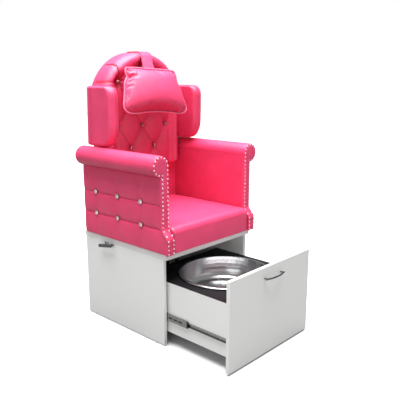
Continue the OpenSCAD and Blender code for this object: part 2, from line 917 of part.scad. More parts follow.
// Front and top of the seat from its lower front edge to the back, then its lining
module seat_cushion() {
    face_steps = 3;
    bend_steps = 5;
    top_steps = 8;
    foot = base_z + skirt_gap;
    lining_y = frame_front - soft_gap;
    lining_z = base_z + rail_h + deck_t + soft_gap;
    back = pad_y - soft_gap;
    bend_y = seat_front + seat_round;
    bend_z = seat_top - seat_round;
    outer = concat(
        [for (i = [0:face_steps]) [seat_front, mix(foot, bend_z, i / face_steps), 0]],
        [for (i = [1:bend_steps]) let (a = 90 * i / bend_steps)
            [bend_y - seat_round * cos(a), bend_z + seat_round * sin(a), seat_front_share * sin(a)]],
        [for (i = [1:top_steps]) let (t = i / top_steps)
            [mix(bend_y, back, t), seat_top, mix(seat_front_share, 1, sin(180 * t))]]);
    inner = concat(
        [for (i = [0:face_steps]) [lining_y, mix(foot, lining_z, i / (face_steps + 2))]],
        [[lining_y, mix(foot, lining_z, (face_steps + 1) / (face_steps + 2))],
         [lining_y, lining_z]],
        [for (i = [1:bend_steps - 2 + top_steps])
            [mix(lining_y, back, i / (bend_steps - 2 + top_steps)), lining_z]]);
    xs = bands([-seat_x, -seat_x + seat_edge, 0, seat_x - seat_edge, seat_x], [2, 4, 4, 2]);
    color("deeppink") padded(
        [for (p = outer) [for (x = xs)
            [x, p[0], p[1] + seat_crown * p[2] * (1 - pow(x / seat_x, 2))
                - (p[2] > 0 ? seat_edge_drop(x) : 0)]]],
        [for (p = inner) [for (x = xs) [x, p[0], p[1]]]]);
}

// Arms

// Front edge of an arm's sides at a height: straight above, flared at the foot
function arm_edge(z) =
    let (t = (z - base_z - flare_low) / (flare_high - flare_low))
    arm_front - flare * (t <= 0 ? 1 : t >= 1 ? 0 : 1 - ease(t));

function flare_points(shift, foot) = concat(
    [for (i = [0:flare_steps])
        let (z = base_z + mix(flare_high, flare_low, i / flare_steps))
        [arm_edge(z) + shift, z]],
    [[arm_front - flare + shift, foot]]);

// A side view drawn in Y and Z, given a thickness along X
module upright(x, t) {
    translate([x, 0, 0]) rotate([90, 0, 90]) linear_extrude(t) children();
}

module arm_outline(foot, head) {
    polygon(concat([[arm_back, foot], [arm_back, head], [arm_front, head]],
                   flare_points(0, foot)));
}

module roll_space() {
    translate([roll_x, arm_front - over, roll_z])
        rod_y(roll_d + 2 * soft_gap, arm_back - arm_front + 2 * over);
}

module arm_core(side) {
    color("burlywood") sided(side) difference() {
        upright(core_x, core_t) arm_outline(base_z, roll_z - roll_r * cradle_share);
        roll_space();
    }
}

module arm_inner(side) {
    color("deeppink") sided(side) difference() {
        upright(arm_in, core_x - arm_in)
            arm_outline(arm_foot, roll_z - roll_r * inner_top_share);
        roll_space();
    }
}

// Outer face of the arm: swollen bricks between sewn lines, sunk at the buttons
function arm_face(y, z, edge) =
    let (tz = swell(band_share(z, [arm_foot, each tuft_zs, arm_head])),
         ty = swell(band_share(y, [edge, each tuft_ys, arm_back])))
    arm_out - seam_deep
        + (puff - puff_side) * tz * max(ty, side_seam_share)
        + puff_side * ty * tz
        - dimple * max([for (by = tuft_ys) for (bz = tuft_zs) dent(y - by, z - bz, dimple_r)]);

module arm_outer(side) {
    zs = bands([arm_foot, base_z + flare_low, each tuft_zs, arm_head], [2, 4, 4, 4]);
    function edge(z) = arm_edge(z) + pad_front_gap;
    function ys(z) = bands([edge(z), each tuft_ys, arm_back], [5, 5, 5, 4]);
    color("deeppink") sided(side) padded(
        [for (z = zs) [for (y = ys(z)) [arm_face(y, z, edge(z)), y, z]]],
        [for (z = zs) [for (y = ys(z)) [core_x + core_t + soft_gap, y, z]]]);
}

module arm_buttons() {
    color("lavenderblush") for (side = [-1, 1]) sided(side)
        for (y = tuft_ys) for (z = tuft_zs)
            translate([arm_out - seam_deep - dimple + button_lift, y, z])
                rotate([0, 90, 0]) cylinder(d = button_d, h = button_h, $fn = 12);
}

// Round bolster along the top of the arm, with soft ends
module arm_roll(side) {
    l = arm_back - roll_rear_gap - arm_front - soft_gap;
    turns = 6;
    color("deeppink") sided(side)
        translate([roll_x, arm_front + soft_gap, roll_z]) rotate([-90, 0, 0])
            rotate_extrude($fn = 64) polygon(concat(
                [[0, 0], [roll_r - roll_nose, 0], [roll_r, roll_nose]],
                [for (i = [0:turns]) let (a = 90 * i / turns)
                    [roll_r - roll_end + roll_end * cos(a), l - roll_end + roll_end * sin(a)]],
                [[0, l]]));
}

module arm_facing(side) {
    back_line = flare_points(-soft_gap, arm_foot);
    color("deeppink") sided(side) {
        upright(facing_x, facing_w) polygon(concat(
            [[arm_front - soft_gap, roll_z], [arm_front - facing_t, roll_z]],
            flare_points(-facing_t, arm_foot),
            [for (i = [len(back_line) - 1:-1:0]) back_line[i]]));
        translate([roll_x, arm_front - facing_t, roll_z])
            rod_y(roll_d - facing_set, facing_t - soft_gap);
    }
}

// Upper half of the flare, where the facing is hollow and a flat head sits on its rim
function in_hollow(z) = let (h = z - base_z)
    h > (flare_low + flare_high) / 2 && h < flare_high + nail_d / 2;

function arm_slope(z) = (arm_edge(z + over) - arm_edge(z - over)) / (2 * over);

// Nails up the outer edge of the facing, round the roll and down its inner edge
function nail_spots() =
    let (bend = 90 + asin((roll_x - facing_x - nail_in - nail_gap) / ring_r),
         turn = 180 + bend,
         start_z = roll_z - ring_r * sin(180 - bend),
         foot = arm_foot + nail_foot,
         around = round(turn * PI / 180 * ring_r / nail_pitch),
         outer = round((start_z - foot) / nail_pitch),
         inner = round((roll_z - foot) / nail_pitch))
    concat(
        [for (i = [0:outer - 1])
            [facing_x + nail_in + nail_gap, mix(foot, start_z, i / outer)]],
        [for (i = [0:around]) let (a = -bend + turn * i / around)
            [roll_x + ring_r * cos(a), roll_z + ring_r * sin(a)]],
        [for (i = [1:inner]) [facing_x + nail_in, mix(roll_z, foot, i / inner)]]);

module arm_nails() {
    color("gainsboro") for (side = [-1, 1]) sided(side)
        for (p = nail_spots()) let (slope = arm_slope(p[1]))
            translate([p[0], arm_edge(p[1]) - facing_t, p[1]])
                rotate([90 - atan(slope), 0, 0])
                    translate([0, 0, in_hollow(p[1]) ? nail_lift : soft_gap])
                        cylinder(d = nail_d, h = nail_h, $fn = 8);
}

module arm_core_left() {
    arm_core(-1);
}

module arm_core_right() {
    arm_core(1);
}

module arm_outer_left() {
    arm_outer(-1);
}

module arm_outer_right() {
    arm_outer(1);
}

module arm_inner_left() {
    arm_inner(-1);
}

module arm_inner_right() {
    arm_inner(1);
}

module arm_roll_left() {
    arm_roll(-1);
}

module arm_roll_right() {
    arm_roll(1);
}

module arm_facing_left() {
    arm_facing(-1);
}

module arm_facing_right() {
    arm_facing(1);
}

// Back

module back_outline() {
    translate([-seat_x, base_z]) square([2 * seat_x, arm_head - base_z]);
    translate([-board_x, base_z]) square([2 * board_x, arch_z - base_z]);
    intersection() {
        translate([0, arch_z]) circle(r = arch_r, $fn = 96);
        translate([-board_x, arch_z]) square([2 * board_x, arch_r]);
    }
}

// A front view drawn in X and Z, from y to y + t
module facing_front(y, t) {
    translate([0, y + t, 0]) rotate([90, 0, 0]) linear_extrude(t) children();
}

module back_board() {
    color("burlywood") facing_front(board_y, back_board_t) back_outline();
}

module outer_back() {
    color("deeppink") {
        facing_front(outer_y, outer_t) back_outline();
        block([-seat_x, outer_y, arm_foot], [seat_x, arm_back - rear_skirt_gap, arm_head]);
    }
}

module lower_back_pad() {
    low = base_z + rail_h + deck_t;
    rise = seat_top + seat_crown + pad_rise;
    top = cushion_z - soft_gap;
    xs = bands([-seat_x, 0, seat_x], [7, 7]);
    zs = bands([low, rise, top], [1, 8]);
    color("deeppink") padded(
        [for (z = zs) [for (x = xs)
            [x, pad_y - pad_puff * swell((x + seat_x) / (2 * seat_x))
                * swell(max(0, (z - rise) / (top - rise))), z]]],
        [for (z = zs) [for (x = xs) [x, board_y - soft_gap, z]]]);
}

// How far the border's roll stands out, by the share of the way in from its outer edge
function border_depth(t) = t < 0.5 ? rim_deep * shoulder(2 * t)
    : mix(seam_depth, rim_deep, sqrt(max(0, 1 - pow(2 * t - 1, 2))));

function outline_gap(x, z) = min(back_x - abs(x),
    z > arch_z ? arch_r - norm([x, z - arch_z]) : arch_r);

// Diamond puffs with their corners at the buttons
function field_depth(x, z) =
    let (a = x / diamond_w + (z - stud_rows[1]) / (2 * diamond_h),
         b = x / diamond_w - (z - stud_rows[1]) / (2 * diamond_h))
    valley + field_puff * sqrt(abs(sin(180 * a) * sin(180 * b)));

function cushion_depth(x, z) =
    let (t = max(0, outline_gap(x, z)) / rim_w,
         pull = max([for (s = concat(field_studs, border_studs))
             dent(x - s[0], z - s[1], stud_dimple_r)]))
    mix(t < 1 ? border_depth(t) : field_depth(x, z), valley - stud_dimple, pull)
        * shoulder((z - cushion_z) / cushion_foot);

function outline_top(x) = arch_z + sqrt(pow(arch_r, 2) - pow(x, 2));
function seam_top(x) = abs(x) <= seam_x ? arch_z + sqrt(pow(seam_r, 2) - pow(x, 2))
    : mix(seam_top(seam_x), outline_top(back_x), (abs(x) - seam_x) / rim_w);

// Heights of the cushion's grid points in the column at x
function cushion_column(x) = concat(
    bands([cushion_z, cushion_z + cushion_foot, stud_rows[0], stud_rows[1], stud_rows[2],
           min(stud_rows[3], mix(stud_rows[2], seam_top(x), near_seam_share)), seam_top(x)],
          [2, 3, 4, 4, 3, 2]),
    [for (i = [1:5]) mix(seam_top(x), outline_top(x), ease(i / 5))]);

module back_cushion() {
    half = concat(
        [for (i = [0:3]) mix(back_x, seam_x, ease(i / 4))],
        bands([seam_x, diamond_w, diamond_w / 2, 0], [1, 3, 3]));
    xs = concat([for (x = half) -x], [for (i = [len(half) - 2:-1:0]) half[i]]);
    columns = [for (x = xs) cushion_column(x)];
    rows = [0:len(columns[0]) - 1];
    color("deeppink") padded(
        [for (i = rows) [for (j = [0:len(xs) - 1])
            [xs[j], edge_y - cushion_depth(xs[j], columns[j][i]), columns[j][i]]]],
        [for (i = rows) [for (j = [0:len(xs) - 1])
            [xs[j], board_y - soft_gap, columns[j][i]]]]);
}

module stud(spot, lift) {
    translate([spot[0], edge_y - valley + stud_dimple - lift, spot[1]])
        rotate([90, 0, 0]) cylinder(d = stud_d, h = stud_h, $fn = 12);
}

module back_buttons() {
    color("lavenderblush") {
        for (s = field_studs) stud(s, stud_lift);
        for (i = [0:len(border_studs) - 1]) stud(border_studs[i], border_lifts[i]);
    }
}

// Wings

// Point on a wing pad: u and v run from -1 to 1 in depth and height. The front edge is
// rounded and drawn in, and the rear edge square and full.
function wing_point(u, v, face) =
    let (nose = min(u, 0),
         f = mix(wing_edge_share, 1, sqrt((1 - pow(nose, 6)) * (1 - pow(v, 6)))))
    [wing_x + wing_t / 2 * (1 + face * f),
     wing_back - wing_d / 2 * (1 - u * (u < 0 ? sqrt(1 - wing_draw_share * v * v) : 1)),
     wing_z + wing_h / 2 * (1 + v * sqrt(1 - wing_draw_share * nose * nose))];

module wing(side) {
    ts = [for (i = [-wing_steps:wing_steps]) sin(90 * i / wing_steps)];
    color("deeppink") sided(side) difference() {
        padded([for (v = ts) [for (u = ts) wing_point(u, v, 1)]],
               [for (v = ts) [for (u = ts) wing_point(u, v, -1)]]);
        block([wing_x - over, wing_board_front - soft_gap, wing_z + wing_board_in - soft_gap],
              [wing_x + wing_board_t + soft_gap, wing_back + over,
               wing_z + wing_h - wing_board_in + soft_gap]);
    }
}

module wing_left() {
    wing(-1);
}

module wing_right() {
    wing(1);
}

// Boards that carry the wings, fixed to the edges of the back board
module wing_boards() {
    color("deeppink") for (side = [-1, 1]) sided(side)
        block([wing_x, wing_board_front, wing_z + wing_board_in],
              [wing_x + wing_board_t, outer_y, wing_z + wing_h - wing_board_in]);
}

// Head pillow

// Point of the pillow: u and v run from -1 to 1 across and up, w out of its seam plane
function pillow_point(u, v, w) =
    let (s = (1 - v * (1 - pillow_draw_share * (1 - u * u))) / 2 * pillow_h,
         x = u * mix(pillow_w, pillow_top_w, (v + 1) / 2) / 2
             * (1 - pillow_draw_share * (1 - v * v)))
    [x, pillow_y - s * sin(pillow_tilt) + w * cos(pillow_tilt),
     pillow_z - s * cos(pillow_tilt) - w * sin(pillow_tilt)];

function pillow_swell(u, v) = pow(max(0, (1 - u * u) * (1 - v * v)), 0.45);

module pillow() {
    ts = [for (i = [-pillow_steps:pillow_steps]) sin(90 * i / pillow_steps)];
    color("deeppink") padded(
        [for (v = ts) [for (u = ts)
            pillow_point(u, v, -pillow_edge / 2 - pillow_front * pillow_swell(u, v))]],
        [for (v = ts) [for (u = ts)
            pillow_point(u, v, pillow_edge / 2 + pillow_rear * pillow_swell(u, v))]]);
}

// Middle line of the piping, just outside the pillow's seam
function piping_line() =
    let (n = pillow_steps, grow = piping_d / 2 + soft_gap,
         ring = concat([for (i = [-n:n - 1]) [i / n, -1]], [for (i = [-n:n - 1]) [1, i / n]],
                       [for (i = [-n:n - 1]) [-i / n, 1]], [for (i = [-n:n - 1]) [-1, -i / n]]))
    [for (k = [0:len(ring) - 1])
        let (p = pillow_point(sin(90 * ring[k][0]), sin(90 * ring[k][1]), 0),
             side = [abs(ring[k][0]) == 1 ? ring[k][0] : 0, abs(ring[k][1]) == 1 ? ring[k][1] : 0])
        p + grow * [side[0], side[1] * sin(pillow_tilt), side[1] * cos(pillow_tilt)]];

module pillow_piping() {
    line = piping_line();
    n = len(line);
    sides = 6;
    points = [for (k = [0:n - 1])
        let (ahead = line[(k + 1) % n] - line[(k + n - 1) % n],
             flat = [0, cos(pillow_tilt), -sin(pillow_tilt)],
             out = cross(ahead / norm(ahead), flat))
        for (i = [0:sides - 1]) let (a = 360 * i / sides)
            line[k] + piping_d / 2 * (cos(a) * out + sin(a) * flat)];
    color("pink") polyhedron(points, [for (k = [0:n - 1]) for (i = [0:sides - 1])
        let (k2 = (k + 1) % n, i2 = (i + 1) % sides)
        each [[k * sides + i, k2 * sides + i, k2 * sides + i2],
              [k * sides + i, k2 * sides + i2, k * sides + i2]]], convexity = 6);
}

// Where the strap starts, just above the piping in the middle of the pillow's upper edge
function strap_start() = pillow_point(0, 1, 0)
    + (piping_d + soft_gap + strap_gap) * [0, sin(pillow_tilt), cos(pillow_tilt)];

// Path of the strap in Y and Z, lifted off the back by lift
function strap_path(lift) =
    let (a = rim_deep + strap_clear, b = rim_w / 2 + strap_clear,
         centre = [edge_y, arch_top - rim_w / 2],
         from = [strap_start()[1], strap_start()[2]],
         q = [(centre[0] - from[0]) / a, (from[1] - centre[1]) / b],
         touch = atan2(q[1], q[0]) + acos(1 / norm(q)),
         lean = atan2(from[1] - centre[1] - b * sin(touch), from[0] - centre[0] + a * cos(touch)),
         rear = outer_y + outer_t + strap_clear + lift)
    concat(
        [from + lift * [sin(lean), -cos(lean)]],
        [for (i = [0:strap_steps]) let (t = mix(touch, 90, i / strap_steps))
            centre + [-(a + lift) * cos(t), (b + lift) * sin(t)]],
        [[rear, arch_top + strap_clear + lift], [rear, arch_top - strap_tail]]);

module pillow_strap() {
    low = strap_path(0);
    high = strap_path(strap_t);
    color("deeppink") upright(-strap_w / 2, strap_w)
        polygon(concat(low, [for (i = [len(high) - 1:-1:0]) high[i]]));
}

glides();
side_panel_left();
side_panel_right();
back_panel();
panel_dowels();
top_board();
top_cleats();
cleat_screws();
chair_bolts();
side_handle();
side_hook();
slide_outer_left();
slide_outer_right();
slide_middle_left();
slide_middle_right();
slide_catch_left();
slide_catch_right();
slide_balls_left();
slide_balls_right();
slide_inner_left();
slide_inner_right();
slide_screws_cabinet();
slide_screws_drawer();
drawer_front();
drawer_side_left();
drawer_side_right();
drawer_box_front();
drawer_back();
drawer_bottom();
basin_shelf();
shelf_laminate();
basin();
drawer_handle();
handle_screws();
seat_frame();
seat_deck();
seat_cushion();
arm_core_left();
arm_core_right();
arm_outer_left();
arm_outer_right();
arm_inner_left();
arm_inner_right();
arm_roll_left();
arm_roll_right();
arm_facing_left();
arm_facing_right();
arm_buttons();
arm_nails();
back_board();
back_cushion();
back_buttons();
lower_back_pad();
outer_back();
wing_left();
wing_right();
wing_boards();
pillow();
pillow_piping();
pillow_strap();
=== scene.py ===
"""Looks of the pedicure chair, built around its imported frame.

The shapes are worked out in millimetres, in the frame's own axes, and go into the meshes in metres.
"""

import json
import math

import bmesh
import bpy
import numpy as np
from mathutils import Matrix, Vector


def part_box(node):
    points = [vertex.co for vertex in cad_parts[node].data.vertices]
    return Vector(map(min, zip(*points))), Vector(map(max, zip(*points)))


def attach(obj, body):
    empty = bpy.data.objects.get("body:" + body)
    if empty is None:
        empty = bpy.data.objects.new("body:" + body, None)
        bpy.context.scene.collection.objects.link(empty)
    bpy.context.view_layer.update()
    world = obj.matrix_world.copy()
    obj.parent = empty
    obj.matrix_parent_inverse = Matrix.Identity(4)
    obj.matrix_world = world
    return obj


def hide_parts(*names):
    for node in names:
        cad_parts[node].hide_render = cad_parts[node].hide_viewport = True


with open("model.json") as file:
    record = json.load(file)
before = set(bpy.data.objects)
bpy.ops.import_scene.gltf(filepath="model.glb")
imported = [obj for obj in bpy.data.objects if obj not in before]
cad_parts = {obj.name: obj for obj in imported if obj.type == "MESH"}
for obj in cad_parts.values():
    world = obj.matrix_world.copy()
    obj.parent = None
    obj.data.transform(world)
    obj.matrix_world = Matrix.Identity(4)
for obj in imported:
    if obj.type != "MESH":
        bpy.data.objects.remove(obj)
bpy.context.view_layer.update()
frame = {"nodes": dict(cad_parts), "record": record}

MM = 0.001

# Cabinet and chair, in millimetres
BASE_Z = 481.0
FRONT_Y = -94.5
ARM_BACK = 520.5
ARM_IN, ARM_OUT = 285.0, 332.0
ARM_FOOT, ARM_HEAD = 484.0, 860.7
CORE_IN, CORE_OUT = 299.5, 317.5
ROLL_X, ROLL_Z, ROLL_R = 336.0, 912.0, 51.0
FLARE, FLARE_LOW, FLARE_HIGH = 37.0, 73.0, 136.0
FACING_T, FACING_X, FACING_W = 10.0, 287.0, 49.0
TUFT_YS = [55.5, 235.5, 415.5]
TUFT_ZS = [605.0, 721.0]
SEAT_X, SEAT_FRONT, SEAT_TOP, SEAT_ROUND, SEAT_CROWN = 284.7, -134.5, 612.0, 32.0, 8.0
SEAT_BACK = 434.2
PAD_Y = 434.5
BACK_X, ARCH_R, ARCH_Z, CUSHION_Z = 271.5, 290.0, 1160.0, 817.0
BOARD_Y, EDGE_Y, RIM_DEEP, RIM_W = 469.5, 424.5, 49.0, 70.0
SEAM_X, SEAM_R = BACK_X - RIM_W, ARCH_R - RIM_W
DIAMOND_W, DIAMOND_H = 174.0, 119.0
OUTER_Y, SKIRT_Y = 499.5, 519.5
WING_X, WING_T = 271.8, 68.0
WING_YS, WING_ZS = (259.5, 449.5), (969.0, 1273.0)
PILLOW_W, PILLOW_TOP_W, PILLOW_H = 484.0, 352.0, 250.0
PILLOW_Y, PILLOW_Z, PILLOW_TILT = 325.5, 1357.0, math.radians(15)
PIPING_D = 9.0
SOFT_GAP = 0.3
FIELD_DEPTH, PUFF_DEPTH, BUTTON_DEPTH = 23.0, 15.0, 15.0
RAIL_T, RAIL_H = 14.0, 72.0
WING_SEAM = 29.0
EDGE_X, CRYSTAL_X, CRYSTAL_R = 335.0, 327.2, 12.0

# Buttons of the back in the front view, its diamonds counted from the second row
DIAMOND_Z, SIDE_BUTTON_Z = CUSHION_Z + 2 * DIAMOND_H, 1293.0
FIELD_ROWS = [(-0.5, 0.5), (-1, 0, 1), (-0.5, 0.5), (0,)]
FIELD_BUTTONS = [(x * DIAMOND_W, CUSHION_Z + DIAMOND_H * (k + 1))
                 for k, row in enumerate(FIELD_ROWS) for x in row]
BORDER_BUTTONS = [(-DIAMOND_W, SIDE_BUTTON_Z), (DIAMOND_W, SIDE_BUTTON_Z), (0.0, 1377.0)]

# Photo camera: focal length in pixels of the photo, its place and the way it looks back
FOCAL, PHOTO_W = 538.5, 400
EYE, EYE_BACK = (-2.0087, -1.9060, 1.3092), (-0.7145, -0.6642, 0.2200)


# ---- Small sums -------------------------------------------------------------------------------

def mix(a, b, t):
    return a + (b - a) * t


def ease(t):
    return (1 - np.cos(np.pi * t)) / 2


def swell(t):
    return np.sqrt(np.clip(np.sin(np.pi * t), 0, None))


def shoulder(t):
    return np.where(t >= 1, 1.0, np.sqrt(np.clip(1 - (1 - t) ** 2, 0, None)))


def bell(d, width):
    return np.exp(-(d / width) ** 2)


def dent(dx, dz, r):
    return np.exp(-(dx * dx + dz * dz) / (2 * r * r))


def run(a, b, n):
    """n points on the way from a to b, without b itself."""
    return [(mix(a[0], b[0], i / n), mix(a[1], b[1], i / n)) for i in range(n)]


def arc(middle, r, start, end, n):
    """n points on the way round a circle from one angle to another, without the last."""
    return [(middle[0] + r * math.cos(a), middle[1] + r * math.sin(a))
            for a in (mix(start, end, i / n) for i in range(n))]


def bands(marks, counts, eased=False):
    """Marks with steps between each two of them, closer at the marks when eased."""
    steps = [marks[0]]
    for k, n in enumerate(counts):
        for i in range(1, n + 1):
            t = i / n
            steps.append(mix(marks[k], marks[k + 1], float(ease(t)) if eased else t))
    return np.array(steps, float)


def band_share(c, marks):
    """Share of the way through its band for every value in c."""
    marks = np.asarray(marks, float)
    k = np.clip(np.searchsorted(marks, c, side="right") - 1, 0, len(marks) - 2)
    return np.clip((c - marks[k]) / (marks[k + 1] - marks[k]), 0, 1)


def ripple(a, b, reach, seed, waves=5):
    """A soft unevenness between -1 and 1 from a few waves of about that reach."""
    rng = np.random.default_rng(seed)
    total = np.zeros_like(np.asarray(a, float) + np.asarray(b, float))
    for _ in range(waves):
        turn, phase = rng.uniform(0, 2 * np.pi, 2)
        length = reach * rng.uniform(0.7, 1.5)
        total += np.sin(2 * np.pi * (a * np.cos(turn) + b * np.sin(turn)) / length + phase)
    return total / waves


def to_path(x, z, path):
    """Distance to a path of points and the share of the way along it."""
    best = np.full(np.shape(x), 1e9)
    share = np.zeros(np.shape(x))
    n = len(path) - 1
    for k in range(n):
        (ax, az), (bx, bz) = path[k], path[k + 1]
        length2 = (bx - ax) ** 2 + (bz - az) ** 2
        t = np.clip(((x - ax) * (bx - ax) + (z - az) * (bz - az)) / length2, 0, 1)
        d = np.hypot(x - ax - t * (bx - ax), z - az - t * (bz - az))
        near = d < best
        best = np.where(near, d, best)
        share = np.where(near, (k + t) / n, share)
    return best, share


# ---- Meshes -----------------------------------------------------------------------------------

def add_object(name, data):
    thing = bpy.data.objects.new(name, data)
    bpy.context.scene.collection.objects.link(thing)
    return thing


def new_piece(name, points, faces, smooth_angle=50):
    """A closed piece from points in millimetres, its faces turned outward."""
    mesh = bpy.data.meshes.new(name)
    mesh.from_pydata([tuple(p) for p in np.asarray(points, float) * MM], [], faces)
    bm = bmesh.new()
    bm.from_mesh(mesh)
    bmesh.ops.remove_doubles(bm, verts=bm.verts, dist=2e-6)
    bmesh.ops.dissolve_degenerate(bm, dist=1e-6, edges=bm.edges)
    bmesh.ops.recalc_face_normals(bm, faces=bm.faces)
    for face in bm.faces:
        face.smooth = True
    bm.to_mesh(mesh)
    bm.free()
    mesh.set_sharp_from_angle(angle=math.radians(smooth_angle))
    return add_object(name, mesh)


def grid_faces(n, m, start=0, close=False):
    """Quads of a grid of n rows and m columns, joined round when closed."""
    wrap = m if close else m - 1
    return [(start + i * m + j, start + (i + 1) * m + j,
             start + (i + 1) * m + (j + 1) % m, start + i * m + (j + 1) % m)
            for i in range(n - 1) for j in range(wrap)]


def grid_border(n, m):
    return ([i * m for i in range(n - 1)] + [(n - 1) * m + j for j in range(m - 1)]
            + [i * m + m - 1 for i in range(n - 1, 0, -1)] + list(range(m - 1, 0, -1)))


def capped(outer, axis, plane):
    """Points and faces of a padded face with walls down to a flat back."""
    n, m, _ = outer.shape
    points = [tuple(p) for p in outer.reshape(-1, 3)]
    faces = grid_faces(n, m)
    loop = grid_border(n, m)
    first = len(points)
    for q in loop:
        p = list(points[q])
        p[axis] = plane
        points.append(tuple(p))
    count = len(loop)
    for k in range(count):
        after = (k + 1) % count
        faces.append((loop[k], loop[after], first + after, first + k))
    faces.append(tuple(first + k for k in range(count)))
    return points, faces


def lined(outer, inner):
    """Points and faces between a grid of outer points and one of inner points."""
    n, m, _ = outer.shape
    points = [tuple(p) for p in outer.reshape(-1, 3)] + [tuple(p) for p in inner.reshape(-1, 3)]
    faces = grid_faces(n, m) + grid_faces(n, m, n * m)
    loop = grid_border(n, m)
    for k in range(len(loop)):
        a, b = loop[k], loop[(k + 1) % len(loop)]
        faces.append((a, b, b + n * m, a + n * m))
    return points, faces


def ringed(rings, closed=True):
    """Points and faces of rings of equally many points, the first and last closed or open."""
    m = len(rings[0])
    points = [tuple(p) for ring in rings for p in ring]
    faces = grid_faces(len(rings), m, close=True)
    if closed:
        first = (len(rings) - 1) * m
        faces += [tuple(range(m)), tuple(range(first, first + m))]
    return points, faces


def joined(*parts):
    """Several sets of points and faces as one."""
    points, faces = [], []
    for part_points, part_faces in parts:
        first = len(points)
        points.extend(part_points)
        faces.extend(tuple(first + i for i in f) for f in part_faces)
    return points, faces


def sided(points, side):
    """Points drawn for the right side, mirrored when side is -1."""
    points = np.array(points, float)
    points[:, 0] *= side
    return points


def round_tube(path, radius, sides):
    """Points and faces of a round tube along a path of points that runs back into itself."""
    ahead = np.roll(path, -1, 0) - np.roll(path, 1, 0)
    ahead /= np.linalg.norm(ahead, axis=1)[:, None]
    side = np.cross(ahead[0], (0.0, 0.0, 1.0))
    turn = (2 * np.pi * np.arange(sides) / sides)[:, None]
    rings = []
    for place, along in zip(path, ahead):
        side = side - along * np.dot(side, along)
        side /= np.linalg.norm(side)
        rings.append(place + radius * (np.cos(turn) * side + np.sin(turn) * np.cross(side, along)))
    points, faces = ringed(rings, False)
    last = (len(path) - 1) * sides
    shift = min(range(sides), key=lambda s: np.linalg.norm(rings[0][s] - rings[-1][0]))
    faces += [(last + j, (shift + j) % sides, (shift + j + 1) % sides, last + (j + 1) % sides)
              for j in range(sides)]
    return points, faces


def dress(piece, body, slot, *nodes, finish=None):
    """Puts a finished piece on its body, in place of CAD nodes."""
    piece.data.materials.clear()
    piece.data.materials.append(finish or FINISHES[slot])
    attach(piece, body)
    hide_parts(*nodes)


# ---- Materials --------------------------------------------------------------------------------

def shader_group(name, inputs, outputs):
    group = bpy.data.node_groups.new(name, "ShaderNodeTree")
    for label, value in inputs:
        socket = group.interface.new_socket(label, in_out="INPUT", socket_type="NodeSocketFloat")
        socket.default_value = value
    for label in outputs:
        group.interface.new_socket(label, in_out="OUTPUT", socket_type="NodeSocketFloat")
    return group, group.nodes.new("NodeGroupInput"), group.nodes.new("NodeGroupOutput")


def put(tree, kind, values=(), **settings):
    """A new node with its settings and the values or links of its inputs."""
    node = tree.nodes.new(kind)
    for key, value in settings.items():
        setattr(node, key, value)
    for key, value in dict(values).items():
        if isinstance(value, bpy.types.NodeSocket):
            tree.links.new(value, node.inputs[key])
        else:
            node.inputs[key].default_value = value
    return node


def plus(tree, a, b, clamp=False):
    return put(tree, "ShaderNodeMath", {0: a, 1: b}, operation="ADD", use_clamp=clamp).outputs[0]


def times(tree, a, b, clamp=False):
    return put(tree, "ShaderNodeMath", {0: a, 1: b}, operation="MULTIPLY",
               use_clamp=clamp).outputs[0]


def wire(tree, target, **sockets):
    """Links sockets to the inputs of those names, written with underlines for spaces."""
    for key, socket in sockets.items():
        tree.links.new(socket, target.inputs[key.replace("_", " ")])


def own_place(tree):
    return tree.nodes.new("ShaderNodeTexCoord").outputs["Object"]


def spread(tree, value, low, high, to_low=0.0, to_high=1.0):
    return put(tree, "ShaderNodeMapRange", {"Value": value, "From Min": low, "From Max": high,
                                            "To Min": to_low, "To Max": to_high}).outputs[0]


def noise(tree, where, scale, detail=2.0, rough=0.5):
    return put(tree, "ShaderNodeTexNoise", {"Vector": where, "Scale": scale, "Detail": detail,
                                            "Roughness": rough}).outputs[0]


def vinyl_grain_group():
    """Pebbled grain, soft hand marks and fine pull lines of an upholstery vinyl."""
    tree, given, out = shader_group(
        "Vinyl grain", [("Pebbles per metre", 900.0), ("Marks per metre", 9.0),
                        ("Pebble height", 0.35), ("Mark height", 1.0)], ["Height", "Tone", "Gloss"])
    where = own_place(tree)
    bent = put(tree, "ShaderNodeTexNoise", {"Vector": where, "Scale": 60.0, "Detail": 1.0})
    shifted = put(tree, "ShaderNodeMixRGB", {0: 0.004, 1: where, 2: bent.outputs[1]}).outputs[0]
    cells = put(tree, "ShaderNodeTexVoronoi", {"Vector": shifted,
                                               "Scale": given.outputs["Pebbles per metre"]},
                feature="DISTANCE_TO_EDGE")
    pebble = spread(tree, cells.outputs["Distance"], 0.0, 0.28)
    marks = noise(tree, where, given.outputs["Marks per metre"], 3.0, 0.55)
    fine = noise(tree, where, 46.0, 4.0, 0.6)
    height = plus(tree, times(tree, pebble, given.outputs["Pebble height"]),
                  times(tree, plus(tree, marks, times(tree, fine, 0.25)),
                        given.outputs["Mark height"]))
    wire(tree, out, Height=height, Tone=spread(tree, marks, 0.3, 0.7),
         Gloss=spread(tree, fine, 0.3, 0.7))
    return tree


def edge_rub_group():
    """Where edges and corners are rubbed: the normals near them lean away from the face."""
    tree, given, out = shader_group("Edge rub", [("Amount", 0.5), ("Patches per metre", 40.0)],
                                    ["Mask"])
    where = own_place(tree)
    leaning = put(tree, "ShaderNodeBevel", {"Radius": 0.0016}, samples=6).outputs[0]
    own = tree.nodes.new("ShaderNodeNewGeometry").outputs["True Normal"]
    agree = put(tree, "ShaderNodeVectorMath", {0: leaning, 1: own}, operation="DOT_PRODUCT")
    edge = spread(tree, agree.outputs["Value"], 0.985, 0.90)
    patches = spread(tree, noise(tree, where, given.outputs["Patches per metre"], 3.0), 0.42, 0.68)
    wire(tree, out, Mask=times(tree, times(tree, edge, patches), given.outputs["Amount"], True))
    return tree


